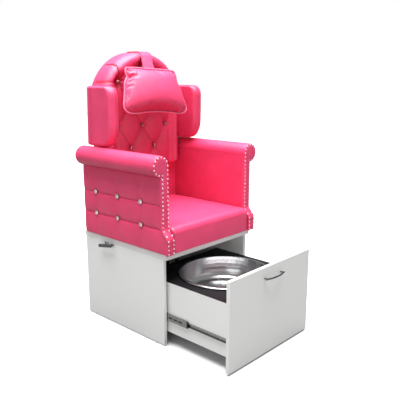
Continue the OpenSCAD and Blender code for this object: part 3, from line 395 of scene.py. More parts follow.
def smooth_coat_group():
    """The slight waviness of a sprayed lacquer and the dust that settles on it."""
    tree, given, out = shader_group("Sprayed coat", [("Waves per metre", 120.0), ("Dust", 0.1)],
                                    ["Height", "Dusting", "Gloss"])
    where = own_place(tree)
    waves = noise(tree, where, given.outputs["Waves per metre"], 2.0)
    clouds = noise(tree, where, 6.0, 4.0, 0.6)
    upward = put(tree, "ShaderNodeSeparateXYZ",
                 {0: tree.nodes.new("ShaderNodeNewGeometry").outputs["Normal"]}).outputs["Z"]
    lying = spread(tree, upward, 0.3, 1.0)
    dusting = times(tree, times(tree, lying, spread(tree, clouds, 0.35, 0.7)),
                    given.outputs["Dust"], True)
    wire(tree, out, Height=waves, Dusting=dusting, Gloss=spread(tree, clouds, 0.3, 0.7))
    return tree


def brushing_group():
    """Fine lines left by brushing or drawing a metal, along the stretched axis."""
    tree, given, out = shader_group("Brushing", [("Lines per metre", 900.0), ("Stretch X", 1.0),
                                                 ("Stretch Y", 1.0), ("Stretch Z", 1.0)],
                                    ["Height", "Gloss"])
    where = own_place(tree)
    stretch = put(tree, "ShaderNodeCombineXYZ", {0: given.outputs["Stretch X"],
                                                 1: given.outputs["Stretch Y"],
                                                 2: given.outputs["Stretch Z"]}).outputs[0]
    run = put(tree, "ShaderNodeVectorMath", {0: where, 1: stretch}, operation="MULTIPLY").outputs[0]
    lines = noise(tree, run, given.outputs["Lines per metre"], 3.0, 0.6)
    smears = noise(tree, where, 14.0, 3.0, 0.6)
    wire(tree, out, Height=lines,
         Gloss=plus(tree, times(tree, lines, 0.35), times(tree, smears, 0.65)))
    return tree


GRAIN = vinyl_grain_group()
RUB = edge_rub_group()
COAT = smooth_coat_group()
BRUSHING = brushing_group()


def placed(tree, group, **values):
    node = tree.nodes.new("ShaderNodeGroup")
    node.node_tree = group
    for key, value in values.items():
        node.inputs[key.replace("_", " ")].default_value = value
    return node


def new_material(name, slot_values):
    """A material with its Principled shader, and uniform values set on the shader itself."""
    material = bpy.data.materials.new(name)
    material.use_nodes = True
    shader = material.node_tree.nodes["Principled BSDF"]
    for key, value in slot_values.items():
        shader.inputs[key].default_value = value
    return material, material.node_tree, shader


def tinted(tree, factor, low, high):
    mixed = put(tree, "ShaderNodeMix", {0: factor, 6: low, 7: high}, data_type="RGBA")
    return mixed.outputs[2]


def covered(tree, shader, colour, gloss, low, high, height, depth, strength):
    """The varied inputs of a shader: colour, roughness between two values, and bumps."""
    bump = put(tree, "ShaderNodeBump", {"Height": height, "Distance": depth, "Strength": strength})
    wire(tree, shader, Base_Color=colour, Roughness=spread(tree, *gloss, low, high),
         Normal=bump.outputs[0])


def vinyl(name, light, deep, gloss, pebble=0.35):
    """Upholstery vinyl with pebbled grain and uneven gloss, drawn towards its deep colour by random
    tone and by painted shade stored on each piece.
    """
    material, tree, shader = new_material(name, {"Specular IOR Level": 0.5, "Coat Weight": 0.22,
                                                 "Coat Roughness": 0.42, "Coat IOR": 1.5})
    grain = placed(tree, GRAIN, Pebble_height=pebble)
    # The stored attribute is painted shade: darker in folds, seams, hollows and on faces turned
    # from the light.
    painted_shade = put(tree, "ShaderNodeAttribute", attribute_name="painted_shade").outputs["Fac"]
    tone_and_painted_shade = plus(tree, times(tree, grain.outputs["Tone"], 0.22), painted_shade, True)
    covered(tree, shader, tinted(tree, tone_and_painted_shade, light, deep), (grain.outputs["Gloss"], 0.0, 1.0),
            gloss - 0.05, gloss + 0.07, grain.outputs["Height"], 0.0006, 0.5)
    return material


def lacquer(name, colour, worn, gloss, dust):
    """Sprayed board: hardly wavy, slightly rubbed along its edges."""
    material, tree, shader = new_material(name, {"Coat Weight": 0.4, "Coat Roughness": 0.12})
    coat = placed(tree, COAT, Dust=dust)
    rub = placed(tree, RUB, Amount=0.35)
    dusty = tinted(tree, coat.outputs["Dusting"], colour, (0.62, 0.60, 0.57, 1))
    covered(tree, shader, tinted(tree, rub.outputs["Mask"], dusty, worn),
            (coat.outputs["Gloss"], 0.0, 1.0), gloss - 0.02, gloss + 0.03,
            coat.outputs["Height"], 0.0001, 0.15)
    return material


def metal(name, colour, gloss, stretch=(1, 1, 1), lines=900.0, metallic=1.0):
    """Bare or plated metal with fine lines along one axis."""
    material, tree, shader = new_material(name, {"Metallic": metallic})
    brushed = placed(tree, BRUSHING, Lines_per_metre=lines, Stretch_X=stretch[0],
                     Stretch_Y=stretch[1], Stretch_Z=stretch[2])
    rub = placed(tree, RUB, Amount=0.5, Patches_per_metre=90.0)
    shade = tinted(tree, spread(tree, brushed.outputs["Gloss"], 0.3, 0.7), colour,
                   tuple(c * 0.90 for c in colour[:3]) + (1,))
    covered(tree, shader, tinted(tree, rub.outputs["Mask"], shade, (0.9, 0.9, 0.9, 1)),
            (brushed.outputs["Gloss"], 0.25, 0.75), gloss * 0.8, gloss * 1.25,
            brushed.outputs["Height"], 0.00005, 0.4)
    return material


def moulded(name, colour, gloss, dust=0.2, shine=0.4):
    """Moulded or pressed plastic with a fine eroded texture."""
    material, tree, shader = new_material(name, {"Specular IOR Level": shine})
    coat = placed(tree, COAT, Waves_per_metre=1500.0, Dust=dust)
    rub = placed(tree, RUB, Amount=0.5, Patches_per_metre=150.0)
    dusty = tinted(tree, coat.outputs["Dusting"], colour, (0.25, 0.24, 0.23, 1))
    covered(tree, shader, tinted(tree, rub.outputs["Mask"], dusty, (0.2, 0.2, 0.2, 1)),
            (coat.outputs["Gloss"], 0.0, 1.0), gloss - 0.08, gloss + 0.1,
            coat.outputs["Height"], 0.0001, 0.5)
    return material


def timber(name):
    """Plain frame timber with its grain along the boards."""
    material, tree, shader = new_material(name, {"Roughness": 0.65})
    where = own_place(tree)
    run = put(tree, "ShaderNodeMapping", {"Vector": where, "Scale": (3.0, 3.0, 40.0)}).outputs[0]
    rings = put(tree, "ShaderNodeTexWave", {"Vector": run, "Scale": 2.0, "Distortion": 6.0,
                                            "Detail": 3.0}).outputs[0]
    fibres = noise(tree, run, 30.0, 4.0, 0.7)
    figure = plus(tree, times(tree, rings, 0.6), times(tree, fibres, 0.4))
    bump = put(tree, "ShaderNodeBump", {"Height": fibres, "Distance": 0.0003, "Strength": 0.4})
    wire(tree, shader, Normal=bump.outputs[0],
         Base_Color=tinted(tree, figure, (0.62, 0.43, 0.24, 1), (0.42, 0.27, 0.14, 1)))
    return material


def crystal(name, light, deep, metallic):
    """Cut clear glass on a bright backing, each flat facet painted lighter or darker as a painted
    glint.
    """
    material, tree, shader = new_material(name, {"Metallic": metallic, "IOR": 1.6,
                                                 "Coat Weight": 1.0, "Coat Roughness": 0.03})
    facing = tree.nodes.new("ShaderNodeNewGeometry").outputs["True Normal"]
    # Painted glints: each facet's colour, between the light and the deep colour, follows the
    # facet's direction.
    painted_glints = spread(tree, noise(tree, facing, 2.6, 1.0), 0.40, 0.60)
    wire(tree, shader, Base_Color=tinted(tree, painted_glints, light, deep),
         Roughness=spread(tree, painted_glints, 0.0, 1.0, 0.04, 0.14))
    return material


FINISHES = {
    "pink_vinyl": vinyl("Pink vinyl", (0.81, 0.052, 0.165, 1), (0.40, 0.011, 0.040, 1), 0.46),
    "pale_piping": vinyl("Pale piping", (0.90, 0.17, 0.32, 1), (0.80, 0.09, 0.19, 1), 0.40, 0.15),
    "white_lacquer": lacquer("White lacquer", (0.81, 0.81, 0.80, 1), (0.72, 0.71, 0.68, 1), 0.31,
                             0.06),
    "black_board": lacquer("Black board", (0.030, 0.030, 0.033, 1), (0.10, 0.09, 0.09, 1), 0.5,
                           0.04),
    "black_laminate": moulded("Black laminate", (0.010, 0.009, 0.011, 1), 0.46, 0.01, 0.06),
    "timber": timber("Frame timber"),
    "basin_steel": metal("Bowl steel", (0.55, 0.55, 0.56, 1), 0.20, (1, 1, 12), 400.0),
    "handle_metal": metal("Handle metal", (0.16, 0.16, 0.17, 1), 0.21, (0.05, 1, 1)),
    "slide_steel": metal("Slide steel", (0.38, 0.39, 0.38, 1), 0.21, (1, 0.03, 1)),
    "ball_steel": metal("Ball steel", (0.75, 0.75, 0.75, 1), 0.12),
    "screw_steel": metal("Screw steel", (0.66, 0.66, 0.66, 1), 0.28),
    "nail_chrome": metal("Nail chrome", (0.86, 0.58, 0.66, 1), 0.26, lines=300.0, metallic=0.45),
    "crystal": crystal("Crystal", (0.98, 0.93, 0.95, 1), (0.62, 0.44, 0.50, 1), 0.5),
    "black_plastic": moulded("Black plastic", (0.018, 0.018, 0.020, 1), 0.42),
    "glide_plastic": moulded("Glide plastic", (0.05, 0.05, 0.055, 1), 0.5)}
# A darker, pinker copy of the crystal for the buttons deep in the back's tufts: painted shade and
# painted reflection of the pink vinyl round them.
DEEP_SET_SHADED_CRYSTAL = crystal("Deep-set crystal, painted shade", (0.80, 0.52, 0.57, 1), (0.10, 0.03, 0.04, 1), 0.85)


def finish_frame():
    """Every CAD node gets the worked-out finish of its slot."""
    for entry in frame["record"]["subparts"]:
        node = frame["nodes"][entry["node"]]
        node.data.materials.clear()
        node.data.materials.append(FINISHES[entry["material_slot"]])


# ---- Camera, light and floor ------------------------------------------------------------------

def set_camera():
    data = bpy.data.cameras.new("Photo camera")
    data.sensor_width = 36.0
    data.lens = FOCAL / PHOTO_W * data.sensor_width
    data.clip_end = 60.0
    camera = add_object("Photo camera", data)
    back = Vector(EYE_BACK).normalized()
    right = Vector((0, 0, 1)).cross(back).normalized()
    up = back.cross(right)
    turn = Matrix((right, up, back)).transposed().to_4x4()
    camera.matrix_world = Matrix.Translation(EYE) @ turn
    bpy.context.scene.camera = camera


def add_softbox(name, place, aim, size, power):
    data = bpy.data.lights.new(name, "AREA")
    data.shape = "DISK"
    data.size = size
    data.energy = power
    light = add_object(name, data)
    light.location = place
    light.rotation_euler = (Vector(aim) - Vector(place)).to_track_quat("-Z", "Y").to_euler()


def pale_floor(reach):
    """A floor that fades into the white background a little way from the chair."""
    mesh = bpy.data.meshes.new("Floor")
    mesh.from_pydata([(-reach, -reach, 0), (reach, -reach, 0), (reach, reach, 0),
                      (-reach, reach, 0)], [], [(0, 1, 2, 3)])
    material, tree, shader = new_material("Pale floor", {
        "Roughness": 0.8, "Specular IOR Level": 0.2, "Emission Color": (1, 1, 1, 1)})
    seen = tree.nodes.new("ShaderNodeLightPath").outputs["Is Camera Ray"]
    where = own_place(tree)
    away = put(tree, "ShaderNodeVectorMath", {0: where}, operation="LENGTH").outputs["Value"]
    fade = put(tree, "ShaderNodeMapRange", {"Value": away, "From Min": 0.75, "From Max": 2.2},
               interpolation_type="SMOOTHSTEP").outputs[0]
    wire(tree, shader, Emission_Strength=times(tree, fade, seen),
         Base_Color=tinted(tree, seen, (0.24, 0.24, 0.24, 1), (0.90, 0.90, 0.90, 1)))
    mesh.materials.append(material)
    return add_object("Floor", mesh)


def set_studio():
    world = bpy.data.worlds.new("Studio")
    world.use_nodes = True
    tree = world.node_tree
    shade = tree.nodes["Background"]
    seen = tree.nodes.new("ShaderNodeLightPath")
    level = put(tree, "ShaderNodeMapRange", {"Value": seen.outputs["Is Camera Ray"],
                                             "To Min": 0.36, "To Max": 1.0})
    shade.inputs["Color"].default_value = (1, 1, 1, 1)
    tree.links.new(level.outputs[0], shade.inputs["Strength"])
    bpy.context.scene.world = world
    bpy.context.scene.view_settings.view_transform = "Standard"
    add_softbox("Overhead", (-0.2, 0.0, 4.6), (0, 0.0, 0.6), 4.6, 620)
    add_softbox("Left of the camera", (-4.2, -1.5, 0.8), (0, 0, 0.5), 3.2, 36)
    add_softbox("Right front", (0.2, -4.6, 0.7), (0, 0, 0.4), 3.6, 24)
    pale_floor(14.0)


# ---- Boards -----------------------------------------------------------------------------------

def eased_board(name, node, body, slot, round_mm):
    """A board as the frame has it, its long outer edges slightly rounded."""
    mesh = frame["nodes"][node].data.copy()
    low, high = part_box(node)
    bm = bmesh.new()
    bm.from_mesh(mesh)
    bmesh.ops.remove_doubles(bm, verts=bm.verts, dist=1e-6)
    bmesh.ops.dissolve_limit(bm, angle_limit=math.radians(1), verts=bm.verts, edges=bm.edges)

    def on_planes(vert):
        return {(axis, end) for axis in range(3) for end, corner in ((0, low), (1, high))
                if abs(vert.co[axis] - corner[axis]) < 1e-5}

    edges = [e for e in bm.edges if len(on_planes(e.verts[0]) & on_planes(e.verts[1])) >= 2]
    bmesh.ops.bevel(bm, geom=edges, offset=round_mm * MM, segments=2, profile=0.5,
                    affect="EDGES", clamp_overlap=True)
    bmesh.ops.recalc_face_normals(bm, faces=bm.faces)
    mesh.name = name
    bm.to_mesh(mesh)
    bm.free()
    if mesh.has_custom_normals:
        mesh.attributes.remove(mesh.attributes["custom_normal"])
    for polygon in mesh.polygons:
        polygon.use_smooth = max(abs(c) for c in polygon.normal) < 0.9999
    dress(add_object(name, mesh), body, slot, node)


def make_boards():
    for row in [
        ("left_side_board", "side_panel_left", "chair", "white_lacquer", 1.0),
        ("right_side_board", "side_panel_right", "chair", "white_lacquer", 1.0),
        ("chair_base_board", "top_board", "chair", "white_lacquer", 1.6),
        ("rear_board", "back_panel", "chair", "black_board", 0.8),
        ("drawer_front_board", "drawer_front", "drawer", "white_lacquer", 1.2),
        ("drawer_left_board", "drawer_side_left", "drawer", "white_lacquer", 1.5),
        ("drawer_right_board", "drawer_side_right", "drawer", "white_lacquer", 1.5),
        ("drawer_inner_front_board", "drawer_box_front", "drawer", "white_lacquer", 0.8),
        ("drawer_rear_board", "drawer_back", "drawer", "white_lacquer", 0.8),
        ("drawer_floor_board", "drawer_bottom", "drawer", "white_lacquer", 0.6),
        ("basin_board", "basin_shelf", "drawer", "white_lacquer", 1.5),
        ("wing_fixing_boards", "wing_boards", "chair", "pink_vinyl", 1.0),
        ("left_arm_board", "arm_core_left", "chair", "pink_vinyl", 1.0),
        ("right_arm_board", "arm_core_right", "chair", "pink_vinyl", 1.0),
    ]:
        eased_board(*row)


# ---- Upholstery -------------------------------------------------------------------------------

def paint_vinyl_shade(piece, shade):
    """Stores painted shade on each point, from 0 to 1, for the vinyl's colour: how far it is
    darkened towards its deep colour.
    """
    attribute = piece.data.attributes.new("painted_shade", "FLOAT", "POINT")
    co = np.zeros(len(piece.data.vertices) * 3)
    piece.data.vertices.foreach_get("co", co)
    attribute.data.foreach_set("value", np.clip(shade(co.reshape(-1, 3) / MM), 0, 1))


def pleat_paths():
    """Pleats from the border's buttons over the roll to its outer edge."""
    turn = math.radians(40)
    left = (-ARCH_R * math.sin(turn), ARCH_Z + ARCH_R * math.cos(turn))
    button = (-DIAMOND_W, SIDE_BUTTON_Z)
    slanted = [[button, left], [button, (-BACK_X, 1290.0)]]
    return (slanted + [[(-x, z) for x, z in path] for path in slanted]
            + [[(-24.0, 1385.0), (-33.0, ARCH_Z + ARCH_R)]])


def pleat_cut(x, z):
    """Depth of the pleats at a place in the front view."""
    cut = np.zeros(np.shape(x))
    for path in pleat_paths():
        d, share = to_path(x, z, path)
        if abs(path[1][0]) == BACK_X:
            one = 3.5 * bell(d, 7.0)
        else:
            one = 7.5 * bell(d, 3.0) + 2.2 * bell(d, 12)
        cut = np.maximum(cut, one * np.where(share < 1, 1 - 0.35 * share, 0.65))
    return cut


def star_folds():
    """Short folds that run out from the two buttons beside the pillow."""
    ends = [(-52.0, 40.0), (-60.0, 2.0), (-44.0, -36.0), (-12.0, -52.0), (30.0, -40.0)]
    return [[(s * DIAMOND_W, SIDE_BUTTON_Z), (s * (DIAMOND_W + a), SIDE_BUTTON_Z + b)]
            for s in (-1, 1) for a, b in ends]


def rim_gap(x, z):
    """Distance inward from the outline of the back in the front view."""
    return np.minimum(BACK_X - np.abs(x),
                      np.where(z > ARCH_Z, ARCH_R - np.hypot(x, z - ARCH_Z), ARCH_R))


def diamonds(x, z, power):
    """The diamonds between the buttons: 0 along their seams, 1 in their middle."""
    a = x / DIAMOND_W + (z - DIAMOND_Z) / (2 * DIAMOND_H)
    b = x / DIAMOND_W - (z - DIAMOND_Z) / (2 * DIAMOND_H)
    return np.abs(np.sin(np.pi * a) * np.sin(np.pi * b)) ** power


def back_depth(x, z):
    """How far the tufted back stands forward of its edge at a place in the front view."""
    t = np.clip(rim_gap(x, z), 0, None) / RIM_W
    deep = RIM_DEEP + 8.0 * ease(np.clip((z - 1180.0) / 140.0, 0, 1))
    arched = ease(np.clip((z - 1130.0) / 130.0, 0, 1))
    tight = np.sqrt(np.clip(1 - (2 * t - 1) ** 2, 0, None))
    loose = 0.5 + 0.5 * np.cos(np.pi * np.clip(2 * t - 1, 0, 1))
    roll = np.where(t < 0.5, deep * shoulder(2 * t),
                    mix(FIELD_DEPTH + 1.0, deep, mix(loose, tight, arched)))
    puffs = FIELD_DEPTH + PUFF_DEPTH * diamonds(x, z, 0.46)
    field = mix(FIELD_DEPTH, puffs, shoulder((t - 1) * RIM_W / 34))
    depth = np.where(t < 1, roll, field)
    depth = depth - pleat_cut(x, z) * np.clip(0.15 + 3.0 * t, 0, 1)
    pull = np.zeros_like(depth)
    for i, (bx, bz) in enumerate(FIELD_BUTTONS + BORDER_BUTTONS):
        r = np.hypot(x - bx, z - bz)
        border = i >= len(FIELD_BUTTONS)
        pull = np.maximum(pull, np.exp(-r * r / (2 * (21.0 if border else 16.0) ** 2)))
        turn = np.arctan2(z - bz, x - bx)
        strength = 3.4 if border else 1.0
        depth = depth + strength * bell(r - 26, 15) * np.cos(9 * turn + i)
    for path in star_folds():
        d, share = to_path(x, z, path)
        depth = depth - 7.0 * (1 - share) ** 0.7 * bell(d, 4.0)
    depth = mix(depth, BUTTON_DEPTH, pull)
    depth = depth + 0.8 * ripple(x, z, 90.0, 11) * np.clip(depth / 20, 0, 1)
    return np.clip(depth, 0, None) * shoulder((z - CUSHION_Z) / 22.0)


def make_tufted_back():
    xs_half = bands([0, SEAM_X, BACK_X], [66, 1])[:-1]
    rim = mix(SEAM_X, BACK_X, ease(np.arange(1, 27) / 26))
    half = np.concatenate([xs_half, rim])
    xs = np.concatenate([-half[:0:-1], half])

    def outline_top(x):
        return ARCH_Z + np.sqrt(ARCH_R ** 2 - x * x)

    def seam_top(x):
        inner = ARCH_Z + np.sqrt(np.clip(SEAM_R ** 2 - x * x, 0, None))
        corner = ARCH_Z + math.sqrt(SEAM_R ** 2 - SEAM_X ** 2)
        outer = mix(corner, ARCH_Z + math.sqrt(ARCH_R ** 2 - BACK_X ** 2),
                    (np.abs(x) - SEAM_X) / RIM_W)
        return np.where(np.abs(x) <= SEAM_X, inner, outer)

    foot = CUSHION_Z + 22.0 * (1 - np.cos(np.pi / 2 * np.arange(0, 9) / 8))
    field_steps, rim_steps = 150, 30
    columns = []
    for x in xs:
        seam, top = float(seam_top(x)), float(outline_top(x))
        columns.append(np.concatenate([
            foot, mix(foot[-1], seam, np.arange(1, field_steps + 1) / field_steps),
            mix(seam, top, ease(np.arange(1, rim_steps + 1) / rim_steps))]))
    z = np.array(columns).T
    x = np.broadcast_to(xs, z.shape)
    drawn = 0.75 * pleat_cut(x, z) * np.clip(1 - 2.0 * rim_gap(x, z) / RIM_W, 0, 1) ** 0.6
    around = np.where(z > ARCH_Z, np.hypot(x, z - ARCH_Z), np.abs(x) + 1e-6)
    inward = np.stack([-x / around, np.zeros_like(x),
                       np.where(z > ARCH_Z, -(z - ARCH_Z) / around, 0.0)], -1)
    outer = np.stack([x, EDGE_Y - back_depth(x, z), z], -1) + drawn[..., None] * inward
    piece = new_piece("tufted_back", *capped(outer, 1, BOARD_Y - SOFT_GAP))

    # Painted shade: the whole field and its diamond seams darker, dark lines along the pleats and
    # short folds, dark dimples round the buttons.
    def shade(p):
        px, pz = p[:, 0], p[:, 2]
        inside = np.clip((rim_gap(px, pz) - RIM_W) / 20, 0, 1)
        line = sum(bell(to_path(px, pz, path)[0], 5.0) for path in pleat_paths())
        for path in star_folds():
            d, share = to_path(px, pz, path)
            line = line + 0.7 * (1 - share) * bell(d, 4.5)
        spots = sum(dent(px - bx, pz - bz, 9) for bx, bz in FIELD_BUTTONS)
        for bx, bz in BORDER_BUTTONS:
            turn = np.arctan2(pz - bz, px - bx)
            spots = spots + dent(px - bx, pz - bz, 20) * (1.0 + 0.3 * np.cos(9 * turn))
        return (0.34 - 0.20 * diamonds(px, pz, 0.4)) * inside + 1.2 * line + 0.8 * spots

    paint_vinyl_shade(piece, shade)
    dress(piece, "chair", "pink_vinyl", "back_cushion")


def seat_profile():
    """Side view line of the seat: y, z, share of the crown and share of the front's belly."""
    bend_y, bend_z = SEAT_FRONT + SEAT_ROUND, SEAT_TOP - SEAT_ROUND
    foot_round = 6.0
    rows = [(SEAT_FRONT + foot_round * (1 - math.sin(a)),
             ARM_FOOT + foot_round * (1 - math.cos(a)), 0.0, 0.0)
            for a in (math.pi / 2 * i / 4 for i in range(5))]
    rows += [(SEAT_FRONT, mix(ARM_FOOT + foot_round, bend_z, t), 0.0, math.sin(math.pi * t))
             for t in (i / 24 for i in range(1, 25))]
    rows += [(bend_y - SEAT_ROUND * math.cos(a), bend_z + SEAT_ROUND * math.sin(a),
              0.33 * math.sin(a), 0.0) for a in (math.pi / 2 * i / 16 for i in range(1, 17))]
    rows += [(mix(bend_y, SEAT_BACK, t), SEAT_TOP, mix(0.33, 1.0, math.sin(math.pi * t)), 0.0)
             for t in (i / 110 for i in range(1, 111))]
    return rows


def make_seat():
    rows = seat_profile()
    edge = 18.0 * (1 - np.cos(np.pi / 2 * np.arange(0, 9) / 8))
    xs = np.concatenate([-SEAT_X + edge, np.linspace(-SEAT_X + 18, SEAT_X - 18, 110)[1:-1],
                         SEAT_X - edge[::-1]])
    drop = 9.0 * (1 - shoulder((SEAT_X - np.abs(xs)) / 18.0))
    outer = np.zeros((len(rows), len(xs), 3))
    for i, (y, z, crown, belly) in enumerate(rows):
        across = 1 - (xs / SEAT_X) ** 2
        uneven = 0.9 * ripple(xs, np.full_like(xs, y + z), 150.0, 21)
        if crown > 0:
            outer[i] = np.stack([xs, np.full_like(xs, y) + drop * (1 - crown) * 0.8,
                                 z + SEAT_CROWN * crown * across - drop + uneven * crown], -1)
        else:
            outer[i] = np.stack([xs, y + drop * 0.8 - 2.0 * belly * across,
                                 np.full_like(xs, z)], -1)
    lining_y, lining_z = FRONT_Y + RAIL_T - SOFT_GAP, BASE_Z + RAIL_H + SOFT_GAP
    inner = np.zeros_like(outer)
    turn_row = 34
    for i in range(len(rows)):
        if i <= turn_row:
            y, z = lining_y, mix(ARM_FOOT, lining_z, i / turn_row)
        else:
            y, z = mix(lining_y, SEAT_BACK, (i - turn_row) / (len(rows) - 1 - turn_row)), lining_z
        inner[i] = np.stack([xs, np.full_like(xs, y), np.full_like(xs, z)], -1)
    piece = new_piece("seat_pad", *lined(outer, inner))
    # Painted shade in a narrow band along both sides of the seat, against the arms.
    paint_vinyl_shade(piece, lambda p: 0.5 * bell(SEAT_X - np.abs(p[:, 0]), 5))
    dress(piece, "chair", "pink_vinyl", "seat_cushion")


def make_lower_back():
    low, top = BASE_Z + RAIL_H, CUSHION_Z - SOFT_GAP
    rise = SEAT_TOP + SEAT_CROWN + 12.0
    xs = np.linspace(-SEAT_X, SEAT_X, 90)
    zs = np.concatenate([np.linspace(low, rise, 4), np.linspace(rise, top, 44)[1:]])
    x, z = np.meshgrid(xs, zs)
    t = np.clip((z - rise) / (top - rise), 0, 1)
    y = (PAD_Y - 10.0 * swell((x + SEAT_X) / (2 * SEAT_X)) * swell(t)
         + 0.6 * ripple(x, z, 120.0, 31) * swell(t) * swell((x + SEAT_X) / (2 * SEAT_X)))
    piece = new_piece("lower_back_panel", *capped(np.stack([x, y, z], -1), 1, BOARD_Y - SOFT_GAP))
    dress(piece, "chair", "pink_vinyl", "lower_back_pad")


def arm_edge(z):
    """Front edge of an arm's sides at a height: straight above, flared at the foot."""
    t = (np.asarray(z, float) - BASE_Z - FLARE_LOW) / (FLARE_HIGH - FLARE_LOW)
    return FRONT_Y - FLARE * np.where(t <= 0, 1.0, np.where(t >= 1, 0.0, 1 - ease(t)))


def make_arm_outside(side, label):
    marks_z = [ARM_FOOT] + TUFT_ZS + [ARM_HEAD]
    outer = []
    for z in bands(marks_z, [30, 30, 34], eased=True):
        edge = float(arm_edge(z)) + 0.1
        marks_y = [edge] + TUFT_YS + [ARM_BACK]
        ys = bands(marks_y, [28, 30, 30, 20], eased=True)
        zz = np.full_like(ys, z)
        tz = swell(band_share(zz, marks_z))
        ty = swell(band_share(ys, marks_y))
        x = ARM_OUT - 3.5 + 4.5 * tz * np.maximum(ty, 0.55) + 3.0 * ty * tz
        for i, by in enumerate(TUFT_YS):
            for k, bz in enumerate(TUFT_ZS):
                r = np.hypot(ys - by, zz - bz)
                turn = np.arctan2(zz - bz, ys - by)
                x = x - 6.0 * np.exp(-r * r / (2 * 14.0 ** 2))
                x = x + 1.3 * bell(r - 20, 12) * np.cos(8 * turn + i + 2 * k)
        away = np.minimum(np.abs(zz - TUFT_ZS[0]), np.abs(zz - TUFT_ZS[1]))
        x = x - 1.1 * bell(away, 2.4) - 1.8 * bell(away, 11.0)
        x = x + 0.5 * ripple(ys, zz, 70.0, 41 + side) * tz
        x = mix(x, EDGE_X, bell(ys - edge, 12.0))
        ends = np.minimum(shoulder((ARM_BACK - ys) / 7.0),
                          shoulder(min(z - ARM_FOOT, ARM_HEAD - z) / 6.0))
        x = CORE_OUT + 7.0 + (x - CORE_OUT - 7.0) * ends
        outer.append(np.stack([x, ys, zz], -1))
    points, faces = capped(np.array(outer), 0, CORE_OUT + SOFT_GAP)
    piece = new_piece(label + "_arm_outside", sided(points, side), faces)

    # Painted shade along the two rows of tufts and round each button.
    def shade(p):
        line = np.minimum(np.abs(p[:, 2] - TUFT_ZS[0]), np.abs(p[:, 2] - TUFT_ZS[1]))
        spots = sum(dent(p[:, 1] - by, p[:, 2] - bz, 15) for by in TUFT_YS for bz in TUFT_ZS)
        return 0.30 * bell(line, 5) + 0.35 * spots

    paint_vinyl_shade(piece, shade)
    dress(piece, "chair", "pink_vinyl", "arm_outer_" + label)


def make_arm_inside(side, label):
    zs = np.linspace(ARM_FOOT, ROLL_Z - 8.0, 96)
    outer, inner = [], []
    for z in zs:
        edge = float(arm_edge(z))
        ys = bands([edge, edge + 9, ARM_BACK - 9, ARM_BACK], [6, 100, 6])
        zz = np.full_like(ys, z)
        rim = np.minimum(shoulder((ys - edge) / 9.0), shoulder((ARM_BACK - ys) / 9.0))
        rim = np.minimum(rim, float(shoulder((z - ARM_FOOT) / 6.0)))
        back = min(CORE_IN - SOFT_GAP, ROLL_X - math.sqrt(
            max(0.0, (ROLL_R + SOFT_GAP) ** 2 - (ROLL_Z - z) ** 2)) - SOFT_GAP)
        calm = np.clip((z - SEAT_TOP - 6) / 60, 0, 1)
        puff = 0.7 * ripple(ys, zz, 130.0, 51 + side) * calm
        x = ARM_IN + 4.0 * (1 - rim) + np.minimum(puff, 0.4) * (1 - ease(np.clip(
            (z - 840.0) / 50.0, 0, 1)))
        x = np.minimum(x, back - 0.15)
        outer.append(np.stack([x, ys, zz], -1))
        inner.append(np.stack([np.full_like(ys, back), ys, zz], -1))
    points, faces = lined(np.array(outer), np.array(inner))
    piece = new_piece(label + "_arm_inside", sided(points, side), faces)
    # Painted shade over the whole inner pad, deeper towards the seat.
    paint_vinyl_shade(piece, lambda p: 0.24 + 0.2 * np.exp(-(p[:, 2] - SEAT_TOP) / 50.0))
    dress(piece, "chair", "pink_vinyl", "arm_inner_" + label)


def make_arm_roll(side, label):
    front, rear = FRONT_Y + SOFT_GAP, ARM_BACK - 10.0
    ys = np.concatenate([front + np.array([0.0, 0.6, 1.8, 4.0]),
                         np.linspace(front + 8, rear - 16, 90),
                         rear - 14 * (1 - np.sin(np.pi / 2 * np.arange(1, 9) / 8))])
    turn = 2 * np.pi * np.arange(88) / 88
    rings = []
    for y in ys:
        start, end = y - front, rear - y
        r = ROLL_R - 4.0 * (1 - float(shoulder(start / 4.0)))
        r -= 13.0 * (1 - float(shoulder(end / 14.0)))
        pull = math.exp(-end / 26.0)
        uneven = 0.5 * ripple(turn * 50, np.full_like(turn, y), 120.0, 61 + side)
        gather = 0.7 * pull * np.cos(16 * turn + 1.3) * min(1.0, end / 8.0)
        radius = r + (np.minimum(uneven, 0.2) + gather - 0.5) * min(1.0, start / 6.0)
        rings.append(np.stack([ROLL_X + radius * np.cos(turn), np.full_like(turn, y),
                               ROLL_Z + radius * np.sin(turn)], -1))
    centre_y = rear - 1.0
    last = rings[-1]
    for share in (0.82, 0.55, 0.25):
        rings.append(np.stack([ROLL_X + (last[:, 0] - ROLL_X) * share,
                               np.full_like(turn, centre_y + (1 - share) * 1.2),
                               ROLL_Z + (last[:, 2] - ROLL_Z) * share], -1))
    points, faces = ringed(rings)
    piece = new_piece(label + "_arm_roll", sided(points, side), faces, 60)
    # Painted shade on the underside of the roll.
    paint_vinyl_shade(piece, lambda p: 0.5 * np.clip((ROLL_Z - 6.0 - p[:, 2]) / 40.0, 0, 1))
    dress(piece, "chair", "pink_vinyl", "arm_roll_" + label)


def facing_ring(d, n_foot, n_side, n_round):
    """Outline of the arm's front facing, drawn in by d: foot, outer edge, roll, inner edge."""
    r = ROLL_R - 1.0 - d
    left, right = FACING_X + d, FACING_X + FACING_W - d
    low = ARM_FOOT + d
    join_z = ROLL_Z - math.sqrt(max(0.0, r * r - d * d))
    from_turn = math.atan2(join_z - ROLL_Z, right - ROLL_X)
    reach = min(1.0, (ROLL_X - left) / r)
    to_turn = math.pi + math.acos(reach)
    end_z = ROLL_Z - r * math.sin(math.acos(reach))
    return (run((left, low), (right, low), n_foot) + run((right, low), (right, join_z), n_side)
            + arc((ROLL_X, ROLL_Z), r, from_turn, to_turn, n_round)
            + run((left, end_z), (left, low), n_side))


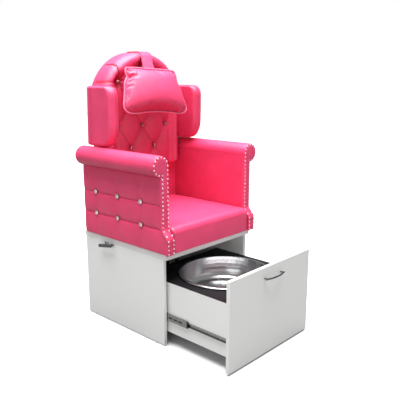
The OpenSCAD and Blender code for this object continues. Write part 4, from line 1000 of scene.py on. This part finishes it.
def make_arm_facing(side, label):
    insets = [0.0, 0.5, 1.4, 2.8, 5.0, 7.0, 9.5, 13.0, 17.0, 21.0, 24.0]
    heights = [5.5, 7.3, 8.8, 9.7, 10.0, 10.0, 10.9, 12.0, 12.8, 13.2, 13.3]
    n_foot, n_side, n_round = 10, 48, 44
    rings = []
    for d, h in [(0.0, SOFT_GAP)] + list(zip(insets, heights)):
        rings.append([(x, float(arm_edge(z)) - h, z)
                      for x, z in facing_ring(d, n_foot, n_side, n_round)])
    points, faces = ringed(rings, False)
    for start, turned in ((0, -1), (len(points) - len(rings[0]), 1)):
        foot = [start + i for i in range(n_foot)]
        rising = [start + n_foot + i for i in range(n_side + 1)]
        falling = [foot[0]] + [start + len(rings[0]) - 1 - i for i in range(n_side)]
        rows = [(rising[1], falling[1], *foot, rising[0])]
        rows += [(rising[k], rising[k + 1], falling[k + 1], falling[k]) for k in range(1, n_side)]
        rows += [tuple(rising[-1] + i for i in range(n_round + 1))]
        faces += [row[::turned] for row in rows]
    piece = new_piece(label + "_arm_facing", sided(points, side), faces, 60)
    # Painted shade in a band about 560 mm up the facing.
    paint_vinyl_shade(piece, lambda p: 0.3 * bell(p[:, 2] - 560, 30))
    dress(piece, "chair", "pink_vinyl", "arm_facing_" + label)


def wing_edges(z):
    """Front and rear edge of a wing at a height: leaning forward, with round front corners."""
    (front, rear), (low, top) = WING_YS, WING_ZS
    t = (z - low) / (top - low)
    front = front - 3.0 - 4.0 * t
    head = np.clip((z - (top - 58.0)) / 58.0, 0, 1)
    foot = np.clip(((low + 104.0) - z) / 104.0, 0, 1)
    drawn = 54.0 * (1 - np.sqrt(1 - head ** 2)) + 74.0 * (1 - np.sqrt(1 - foot ** 2))
    return front + drawn, rear - 12.0 * t


def make_wing(side, label):
    (low, top), middle = WING_ZS, WING_X + WING_T / 2
    rows = 0.5 - 0.5 * np.cos(np.pi * np.linspace(0, 1, 84))
    zs = mix(low - 3.0, top, mix(rows, np.linspace(0, 1, 84), 0.35))
    outer, inner = [], []
    for z in zs:
        front, rear = (float(e) for e in wing_edges(np.clip(z, low, top)))
        ys = front + (rear - front) * np.linspace(0, 1, 64) ** 1.35
        zz = np.full_like(ys, z)
        foot = shoulder(np.clip(z - low + 3.0, 0, None) / 16.0)
        head = shoulder((top - z) / 11.0)
        nose = shoulder((ys - front) / 27.0)
        full = 0.14 + 0.86 * nose * foot * head
        soft = swell(np.clip((ys - front) / (rear - front), 0, 1)) * swell((z - low + 3.0) / (
            top - low + 3.0))
        uneven = 0.9 * ripple(ys, zz, 120.0, 71 + side)
        out = middle + WING_T / 2 * full * (0.965 + 0.035 * soft) + (uneven - 0.9) * soft
        seam = (rear - WING_SEAM) - ys
        sewn = 1.3 * bell(seam, 1.7) - 0.5 * bell(seam, 12.0)
        out = out - sewn * head * foot
        outer.append(np.stack([out, ys, zz], -1))
        inner.append(np.stack([middle - WING_T / 2 * full * 0.985, ys, zz], -1))
    points, faces = lined(np.array(outer), np.array(inner))
    piece = new_piece(label + "_wing", sided(points, side), faces)

    # Painted shade: a dark line along the outer seam, and the whole inner face darker.
    def shade(p):
        seam = wing_edges(np.clip(p[:, 2], low, top))[1] - WING_SEAM - p[:, 1]
        outside = np.abs(p[:, 0])
        return 0.5 * bell(seam, 2.5) * (outside > middle) + 0.3 * (outside < middle)

    paint_vinyl_shade(piece, shade)
    dress(piece, "chair", "pink_vinyl", "wing_" + label)


def arch_ring(d):
    """Outline of the outer back, drawn in by d: foot, right side, arch, left side."""
    r, x, low = ARCH_R - d, BACK_X - d, BASE_Z + d
    rise = ARCH_Z + math.sqrt(r * r - x * x)
    turn = math.acos(x / r)
    return (run((-x, low), (x, low), 30) + run((x, low), (x, rise), 40)
            + arc((0.0, ARCH_Z), r, turn, math.pi - turn, 60) + run((-x, rise), (-x, low), 40))


def make_outer_back():
    insets = [0.0, 0.8, 2.4, 5.0, 9.0, 14.0, 24.0, 40.0, 60.0, 90.0, 120.0, 150.0]
    heights = [22.0, 25.5, 27.8, 29.0, 29.6, 29.9, 30.0, 30.0, 30.0, 30.0, 30.0, 30.0]
    rings = [[(x, BOARD_Y + SOFT_GAP, z) for x, z in arch_ring(0.0)]]
    for d, h in zip(insets, heights):
        uneven = 0.6 * min(1.0, d / 30)
        rings.append([(x, BOARD_Y + h - SOFT_GAP - uneven * float(ripple(x, z, 160.0, 81)), z)
                      for x, z in arch_ring(d)])
    panel = ringed(rings)
    xs = np.concatenate([[-SEAT_X], np.linspace(-SEAT_X + 6, SEAT_X - 6, 60), [SEAT_X]])
    zs = np.concatenate([[ARM_FOOT], np.linspace(ARM_FOOT + 6, ARM_HEAD - 6, 40), [ARM_HEAD]])
    x, z = np.meshgrid(xs, zs)
    edge = np.minimum(np.minimum(SEAT_X - np.abs(x), z - ARM_FOOT), ARM_HEAD - z)
    y = OUTER_Y + 12.0 + 7.6 * shoulder(edge / 10.0) + 0.4 * ripple(x, z, 150.0, 83)
    skirt = capped(np.stack([x, np.minimum(y, SKIRT_Y), z], -1), 1, OUTER_Y + SOFT_GAP)
    piece = new_piece("upholstered_rear", *joined(panel, skirt))
    dress(piece, "chair", "pink_vinyl", "outer_back", "back_board")


def pillow_point(u, v, w):
    """Point of the head pillow: u across and v up from -1 to 1, w out of its seam plane.

    Its lower corners are round, its lower seam is drawn up, and it hangs slightly askew.
    """
    low = np.clip((1 - v) / 2, 0, 1)
    corner = 0.05 + 0.10 * low
    u, v = u * (1 - corner * np.abs(v) ** 6), v * (1 - corner * np.abs(u) ** 6)
    bow = mix(0.02, 0.25, low)
    s = (1 - v * (1 - bow * (1 - u * u))) / 2 * (PILLOW_H - 6.0) * (1 + 0.05 * low)
    x = u * mix(PILLOW_W, PILLOW_TOP_W, (v + 1) / 2) / 2 * (1 - 0.05 * (1 - v * v))
    x = x + 15.0 * bell(v - 0.60, 0.16) * np.clip(-u, 0, None) ** 4
    x = x - 7.0 * bell(v - 0.50, 0.20) * np.clip(u, 0, None) ** 4
    turn = math.radians(2.5)
    s, x = s * math.cos(turn) + x * math.sin(turn), x * math.cos(turn) - s * math.sin(turn)
    y = PILLOW_Y - s * math.sin(PILLOW_TILT) + w * math.cos(PILLOW_TILT)
    z = PILLOW_Z - s * math.cos(PILLOW_TILT) - w * math.sin(PILLOW_TILT)
    return np.stack([x, y, z], -1)


def pillow_seam(n):
    """The pillow's seam as a closed run of places, n a side."""
    t = np.sin(np.pi / 2 * (np.arange(n) / n * 2 - 1))
    one = np.ones(n)
    u = np.concatenate([t, one, -t, -one])
    v = np.concatenate([-one, t, one, -t])
    return u, v


def blow_up(piece, held, pressure, growth, frames, limit):
    """Lets the fabric of a closed piece grow and fill under pressure, held at some points."""
    rest = np.array([v.co for v in piece.data.vertices])
    piece.vertex_groups.new(name="held").add(held, 1.0, "REPLACE")
    cloth = piece.modifiers.new("Filled cover", "CLOTH")
    settings = cloth.settings
    settings.quality = 6
    settings.mass = 0.4
    settings.tension_stiffness = 30
    settings.compression_stiffness = 30
    settings.shear_stiffness = 12
    settings.bending_stiffness = 1.2
    settings.air_damping = 4
    settings.shrink_min = -growth
    settings.use_pressure = True
    settings.uniform_pressure_force = pressure
    settings.vertex_group_mass = "held"
    settings.effector_weights.gravity = 0
    cloth.collision_settings.use_collision = False
    cloth.point_cache.frame_start, cloth.point_cache.frame_end = 1, frames
    for frame_number in range(1, frames + 1):
        bpy.context.scene.frame_set(frame_number)
    seen = piece.evaluated_get(bpy.context.evaluated_depsgraph_get())
    moved = np.array([v.co for v in seen.data.vertices])
    piece.modifiers.clear()
    bpy.context.scene.frame_set(1)
    step = moved - rest
    length = np.linalg.norm(step, axis=1, keepdims=True)
    step *= np.minimum(1.0, limit * MM / np.maximum(length, 1e-9))
    piece.data.vertices.foreach_set("co", (rest + step).ravel())
    piece.data.update()


def make_pillow():
    n, m = 60, 92
    v = np.sin(np.pi / 2 * np.linspace(-1, 1, n))
    u = np.sin(np.pi / 2 * np.linspace(-1, 1, m))
    uu, vv = np.meshgrid(u, v)
    belly = vv + 0.16 * (1 - vv * vv)
    puff = np.clip((1 - uu * uu) * (1 - belly * belly), 0, None) ** 0.56
    edge = 1 - np.maximum(np.abs(uu), np.abs(vv))
    across, up = uu * 220.0, vv * 122.0
    creases = [([(-220, 70), (-186, 80), (-146, 76)], 15.0, 7.0),
               ([(-220, 122), (-192, 104), (-160, 98)], 9.0, 7.0),
               ([(-220, 18), (-198, 24), (-176, 22)], 4.0, 6.0),
               ([(220, 122), (196, 104), (170, 96)], 7.0, 6.0),
               ([(-220, -122), (-198, -102), (-182, -88)], 4.0, 6.0),
               ([(220, -122), (200, -102), (184, -88)], 4.0, 6.0),
               ([(60, 122), (66, 104), (70, 92)], 2.5, 5.0),
               ([(-70, -122), (-66, -106), (-60, -96)], 2.5, 5.0),
               ([(110, -122), (104, -106), (98, -94)], 2.0, 5.0)]
    folds = 0.8 * ripple(across, up, 90.0, 91) * puff
    for path, depth, width in creases:
        d, share = to_path(across, up, path)
        folds = folds + (1 - share) ** 0.8 * depth * (
            bell(d, width) - 0.45 * bell(d - 2.0 * width, width))
    folds = folds * np.clip(edge * 14, 0, 1)
    front = pillow_point(uu, vv, -1.0 - 60.0 * puff + folds)
    rear = pillow_point(uu, vv, 1.0 + 70.0 * puff)
    points, faces = lined(front, rear)
    piece = new_piece("head_pillow_case", points, faces, smooth_angle=75)
    plane = np.array([0.0, math.cos(PILLOW_TILT), -math.sin(PILLOW_TILT)])
    origin = np.array([0.0, PILLOW_Y, PILLOW_Z])
    held = [vertex.index for vertex in piece.data.vertices
            if abs(float(np.dot(np.array(vertex.co) / MM - origin, plane))) < 2.5]
    blow_up(piece, held, 4.0, 0.012, 14, 8.0)
    settle = piece.modifiers.new("Settle", "SUBSURF")
    settle.levels = settle.render_levels = 1
    smoother = bpy.data.meshes.new_from_object(
        piece.evaluated_get(bpy.context.evaluated_depsgraph_get()))
    piece.modifiers.clear()
    piece.vertex_groups.clear()
    piece.data = smoother
    piece.data.name = "head_pillow_case"
    # Painted shade over the lower part of the pillow.
    paint_vinyl_shade(piece, lambda p: 0.5 * ease(np.clip((PILLOW_Z - 110.0 - p[:, 2]) / 120.0, 0, 1)))
    dress(piece, "head_pillow", "pink_vinyl", "pillow")
    pu, pv = pillow_seam(64)
    line = pillow_point(pu, pv, np.zeros_like(pu))
    ahead = np.roll(line, -1, 0) - np.roll(line, 1, 0)
    away = np.cross(ahead, plane)
    away /= np.linalg.norm(away, axis=1)[:, None]
    middle = line.mean(0)
    away *= np.sign(((line - middle) * away).sum(1))[:, None]
    line = line + (PIPING_D / 2 + SOFT_GAP) * away
    piping = new_piece("head_pillow_piping", *round_tube(line, PIPING_D / 2, 12), 80)
    dress(piping, "head_pillow", "pale_piping", "pillow_piping")


def make_strap():
    """The strap that the pillow hangs on, up its front and over the top of the back."""
    deep, rise, middle_z = RIM_DEEP + 10.5, 37.6, 1415.0
    start = np.array([327.4, 1360.6])
    best = None
    for k in range(400):
        a = math.pi / 2 * k / 400
        p = np.array([EDGE_Y - deep * math.cos(a), middle_z + rise * math.sin(a)])
        along = np.array([deep * math.sin(a), rise * math.cos(a)])
        miss = abs(float(np.cross(np.append(p - start, 0), np.append(along, 0))[2])
                   ) / np.linalg.norm(along)
        if best is None or miss < best[0]:
            best = (miss, a)
    first = best[1]
    touch = (EDGE_Y - deep * math.cos(first), middle_z + rise * math.sin(first))
    path = run(start, touch, 14)
    path += [(EDGE_Y - deep * math.cos(a), middle_z + rise * math.sin(a))
             for a in (mix(first, math.pi / 2, i / 24) for i in range(24))]
    over, rear, end, corner = middle_z + rise, 501.6, 1322.0, 16.0
    path += run((EDGE_Y, over), (rear - corner, over), 10)
    path += arc((rear - corner, over - corner), corner, math.pi / 2, 0.0, 8)
    path += run((rear, over - corner), (rear, end), 20)
    path = np.array(path + [(rear, end)])
    ahead = np.gradient(path, axis=0)
    ahead /= np.linalg.norm(ahead, axis=1)[:, None]
    half, thick = 37.5, 1.5
    flat = np.linspace(-1, 1, 25)
    rings = []
    for k, ((y, z), (ay, az)) in enumerate(zip(path, ahead)):
        shift = mix(-8.0, 15.0, ease(min(1.0, k / 22)))
        across = half - 0.8 * math.sin(math.pi * min(1.0, k / 14))
        ring = []
        for f in flat:
            hem = 0.5 * math.exp(-((abs(f) - 0.88) / 0.03) ** 2)
            ring.append((shift + f * across, thick - hem + 0.25 * (1 - f * f)))
        for f in flat[::-1]:
            ring.append((shift + f * across, -thick))
        rings.append([(x, y - az * w, z + ay * w) for x, w in ring])
    points, faces = ringed(rings)
    piece = new_piece("head_pillow_strap", points, faces, 40)
    # Painted shade in two thin lines along the strap, 36 mm either side of its middle.
    paint_vinyl_shade(piece, lambda p: 0.35 * (np.abs(np.abs(p[:, 0]) - 36) < 2))
    dress(piece, "chair", "pink_vinyl", "pillow_strap")


# ---- Nails, crystals and handles --------------------------------------------------------------

def solids_of(node):
    """Lowest and highest corner, in millimetres, of each separate solid of a CAD node."""
    bm = bmesh.new()
    bm.from_mesh(frame["nodes"][node].data)
    bmesh.ops.remove_doubles(bm, verts=bm.verts, dist=1e-6)
    seen, found = set(), []
    for first in bm.verts:
        if first in seen:
            continue
        seen.add(first)
        stack, group = [first], []
        while stack:
            group.append(stack.pop())
            for link in group[-1].link_edges:
                for vert in link.verts:
                    if vert not in seen:
                        seen.add(vert)
                        stack.append(vert)
        co = np.array([vert.co for vert in group]) / MM
        found.append((co.min(0), co.max(0)))
    bm.free()
    return found


def studding():
    """Geometry nodes that set one stud on every point, along its stored outward direction."""
    tree = bpy.data.node_groups.new("Studding", "GeometryNodeTree")
    for label, kind, value in (("Places", "Geometry", None), ("Stud", "Object", None),
                               ("Finish", "Material", None), ("Size", "Float", 1.0),
                               ("Unevenness", "Float", 0.04), ("Seed", "Int", 7)):
        socket = tree.interface.new_socket(label, in_out="INPUT",
                                           socket_type="NodeSocket" + kind)
        if value is not None:
            socket.default_value = value
    tree.interface.new_socket("Studs", in_out="OUTPUT", socket_type="NodeSocketGeometry")
    given, out = tree.nodes.new("NodeGroupInput"), tree.nodes.new("NodeGroupOutput")
    seed, uneven = given.outputs["Seed"], given.outputs["Unevenness"]
    stud = put(tree, "GeometryNodeObjectInfo", {"Object": given.outputs["Stud"]})
    outward = put(tree, "GeometryNodeInputNamedAttribute", {"Name": "outward"},
                  data_type="FLOAT_VECTOR")
    aim = put(tree, "FunctionNodeAlignRotationToVector",
              {"Vector": outward.outputs["Attribute"]}, axis="Z")
    spin = put(tree, "FunctionNodeRandomValue", {"Min": (-0.06, -0.06, 0.0), "Seed": seed,
                                                 "Max": (0.06, 0.06, 6.28)},
               data_type="FLOAT_VECTOR")
    turned = put(tree, "FunctionNodeRotateRotation", {"Rotation": aim.outputs["Rotation"],
                                                      "Rotate By": spin.outputs["Value"]},
                 rotation_space="LOCAL")
    least = plus(tree, 1.0, times(tree, uneven, -1.0))
    share = put(tree, "FunctionNodeRandomValue",
                {2: least, 3: plus(tree, 1.0, uneven), "Seed": seed}, data_type="FLOAT")
    set_on = put(tree, "GeometryNodeInstanceOnPoints",
                 {"Points": given.outputs["Places"], "Instance": stud.outputs["Geometry"],
                  "Rotation": turned.outputs["Rotation"],
                  "Scale": times(tree, share.outputs[1], given.outputs["Size"])})
    real = put(tree, "GeometryNodeRealizeInstances", {0: set_on.outputs["Instances"]})
    finished = put(tree, "GeometryNodeSetMaterial", {"Geometry": real.outputs[0],
                                                     "Material": given.outputs["Finish"]})
    wire(tree, out, Studs=finished.outputs[0])
    return tree


STUDDING = studding()


def stud_shape(name, rings, sides, flat):
    """A stud standing on the origin along Z, from rings of radius, height and turn."""
    points = [[(r * math.cos(2 * math.pi * (k + turn) / sides),
                r * math.sin(2 * math.pi * (k + turn) / sides), h) for k in range(sides)]
              for r, h, turn in rings]
    stud = new_piece(name, *ringed(points), 1 if flat else 60)
    for polygon in stud.data.polygons:
        polygon.use_smooth = not flat
    return stud


def set_studs(name, places, stud, finish, slot, node, seed, size=1.0):
    """Studs on the given places of the chair, as one plain mesh that stands for a CAD node."""
    mesh = bpy.data.meshes.new(name + " places")
    mesh.from_pydata([tuple(c * MM for c in place) for place, _ in places], [], [])
    outward = mesh.attributes.new("outward", "FLOAT_VECTOR", "POINT")
    outward.data.foreach_set("vector", np.array([out for _, out in places], float).ravel())
    carrier = add_object(name + " places", mesh)
    setter = carrier.modifiers.new("Studding", "NODES")
    setter.node_group = STUDDING
    given = {"Stud": stud, "Finish": finish, "Size": size, "Seed": seed}
    for item in STUDDING.interface.items_tree:
        if item.item_type == "SOCKET" and item.in_out == "INPUT" and item.name in given:
            setter[item.identifier] = given[item.name]
    bpy.context.view_layer.update()
    made = bpy.data.meshes.new_from_object(
        carrier.evaluated_get(bpy.context.evaluated_depsgraph_get()))
    made.name = name
    bpy.data.objects.remove(carrier)
    dress(add_object(name, made), "chair", slot, node, finish=finish)


def make_studs():
    nail = stud_shape("nail shape", [(5.5, 0.0, 0), (5.5, 0.6, 0), (5.1, 1.5, 0), (4.1, 2.5, 0),
                                     (2.6, 3.2, 0), (1.0, 3.5, 0)], 14, False)
    nails = []
    for low, high in solids_of("arm_nails"):
        x, _, z = (low + high) / 2
        slope = float(arm_edge(z + 0.5) - arm_edge(z - 0.5))
        out = np.array([0.0, -1.0, slope]) / math.hypot(1.0, slope)
        nails.append(((x, float(arm_edge(z)) - FACING_T - 0.2, z), out))
    set_studs("facing_nails", nails, nail, FINISHES["nail_chrome"], "nail_chrome", "arm_nails", 3,
              0.86)
    cut = stud_shape("crystal shape", [(0.93, 0.0, 0), (1.0, 0.12, 0), (1.0, 0.22, 0),
                                       (0.86, 0.42, 0.5), (0.66, 0.56, 0), (0.40, 0.66, 0.5)],
                     10, True)
    cut.data.transform(Matrix.Diagonal((CRYSTAL_R, CRYSTAL_R, CRYSTAL_R, 1.0)))
    arm = []
    for low, high in solids_of("arm_buttons"):
        side = math.copysign(1.0, low[0])
        _, y, z = (low + high) / 2
        arm.append(((side * CRYSTAL_X, y, z), (side, 0.0, 0.0)))
    set_studs("arm_crystals", arm, cut, FINISHES["crystal"], "crystal", "arm_buttons", 5)
    back = [(((low[0] + high[0]) / 2, high[1] - 0.5, (low[2] + high[2]) / 2), (0.0, -1.0, 0.0))
            for low, high in solids_of("back_buttons")]
    # The back's buttons get the darker crystal, painted shade and painted reflection.
    set_studs("back_crystals", back, cut, DEEP_SET_SHADED_CRYSTAL, "crystal", "back_buttons", 9, 0.74)
    for shape in (nail, cut):
        bpy.data.objects.remove(shape)


finish_frame()
set_camera()
set_studio()
make_boards()
make_tufted_back()
make_seat()
make_lower_back()
for side, label in ((-1, "left"), (1, "right")):
    make_arm_outside(side, label)
    make_arm_inside(side, label)
    make_arm_roll(side, label)
    make_arm_facing(side, label)
    make_wing(side, label)
make_outer_back()
make_strap()
make_studs()
make_pillow()
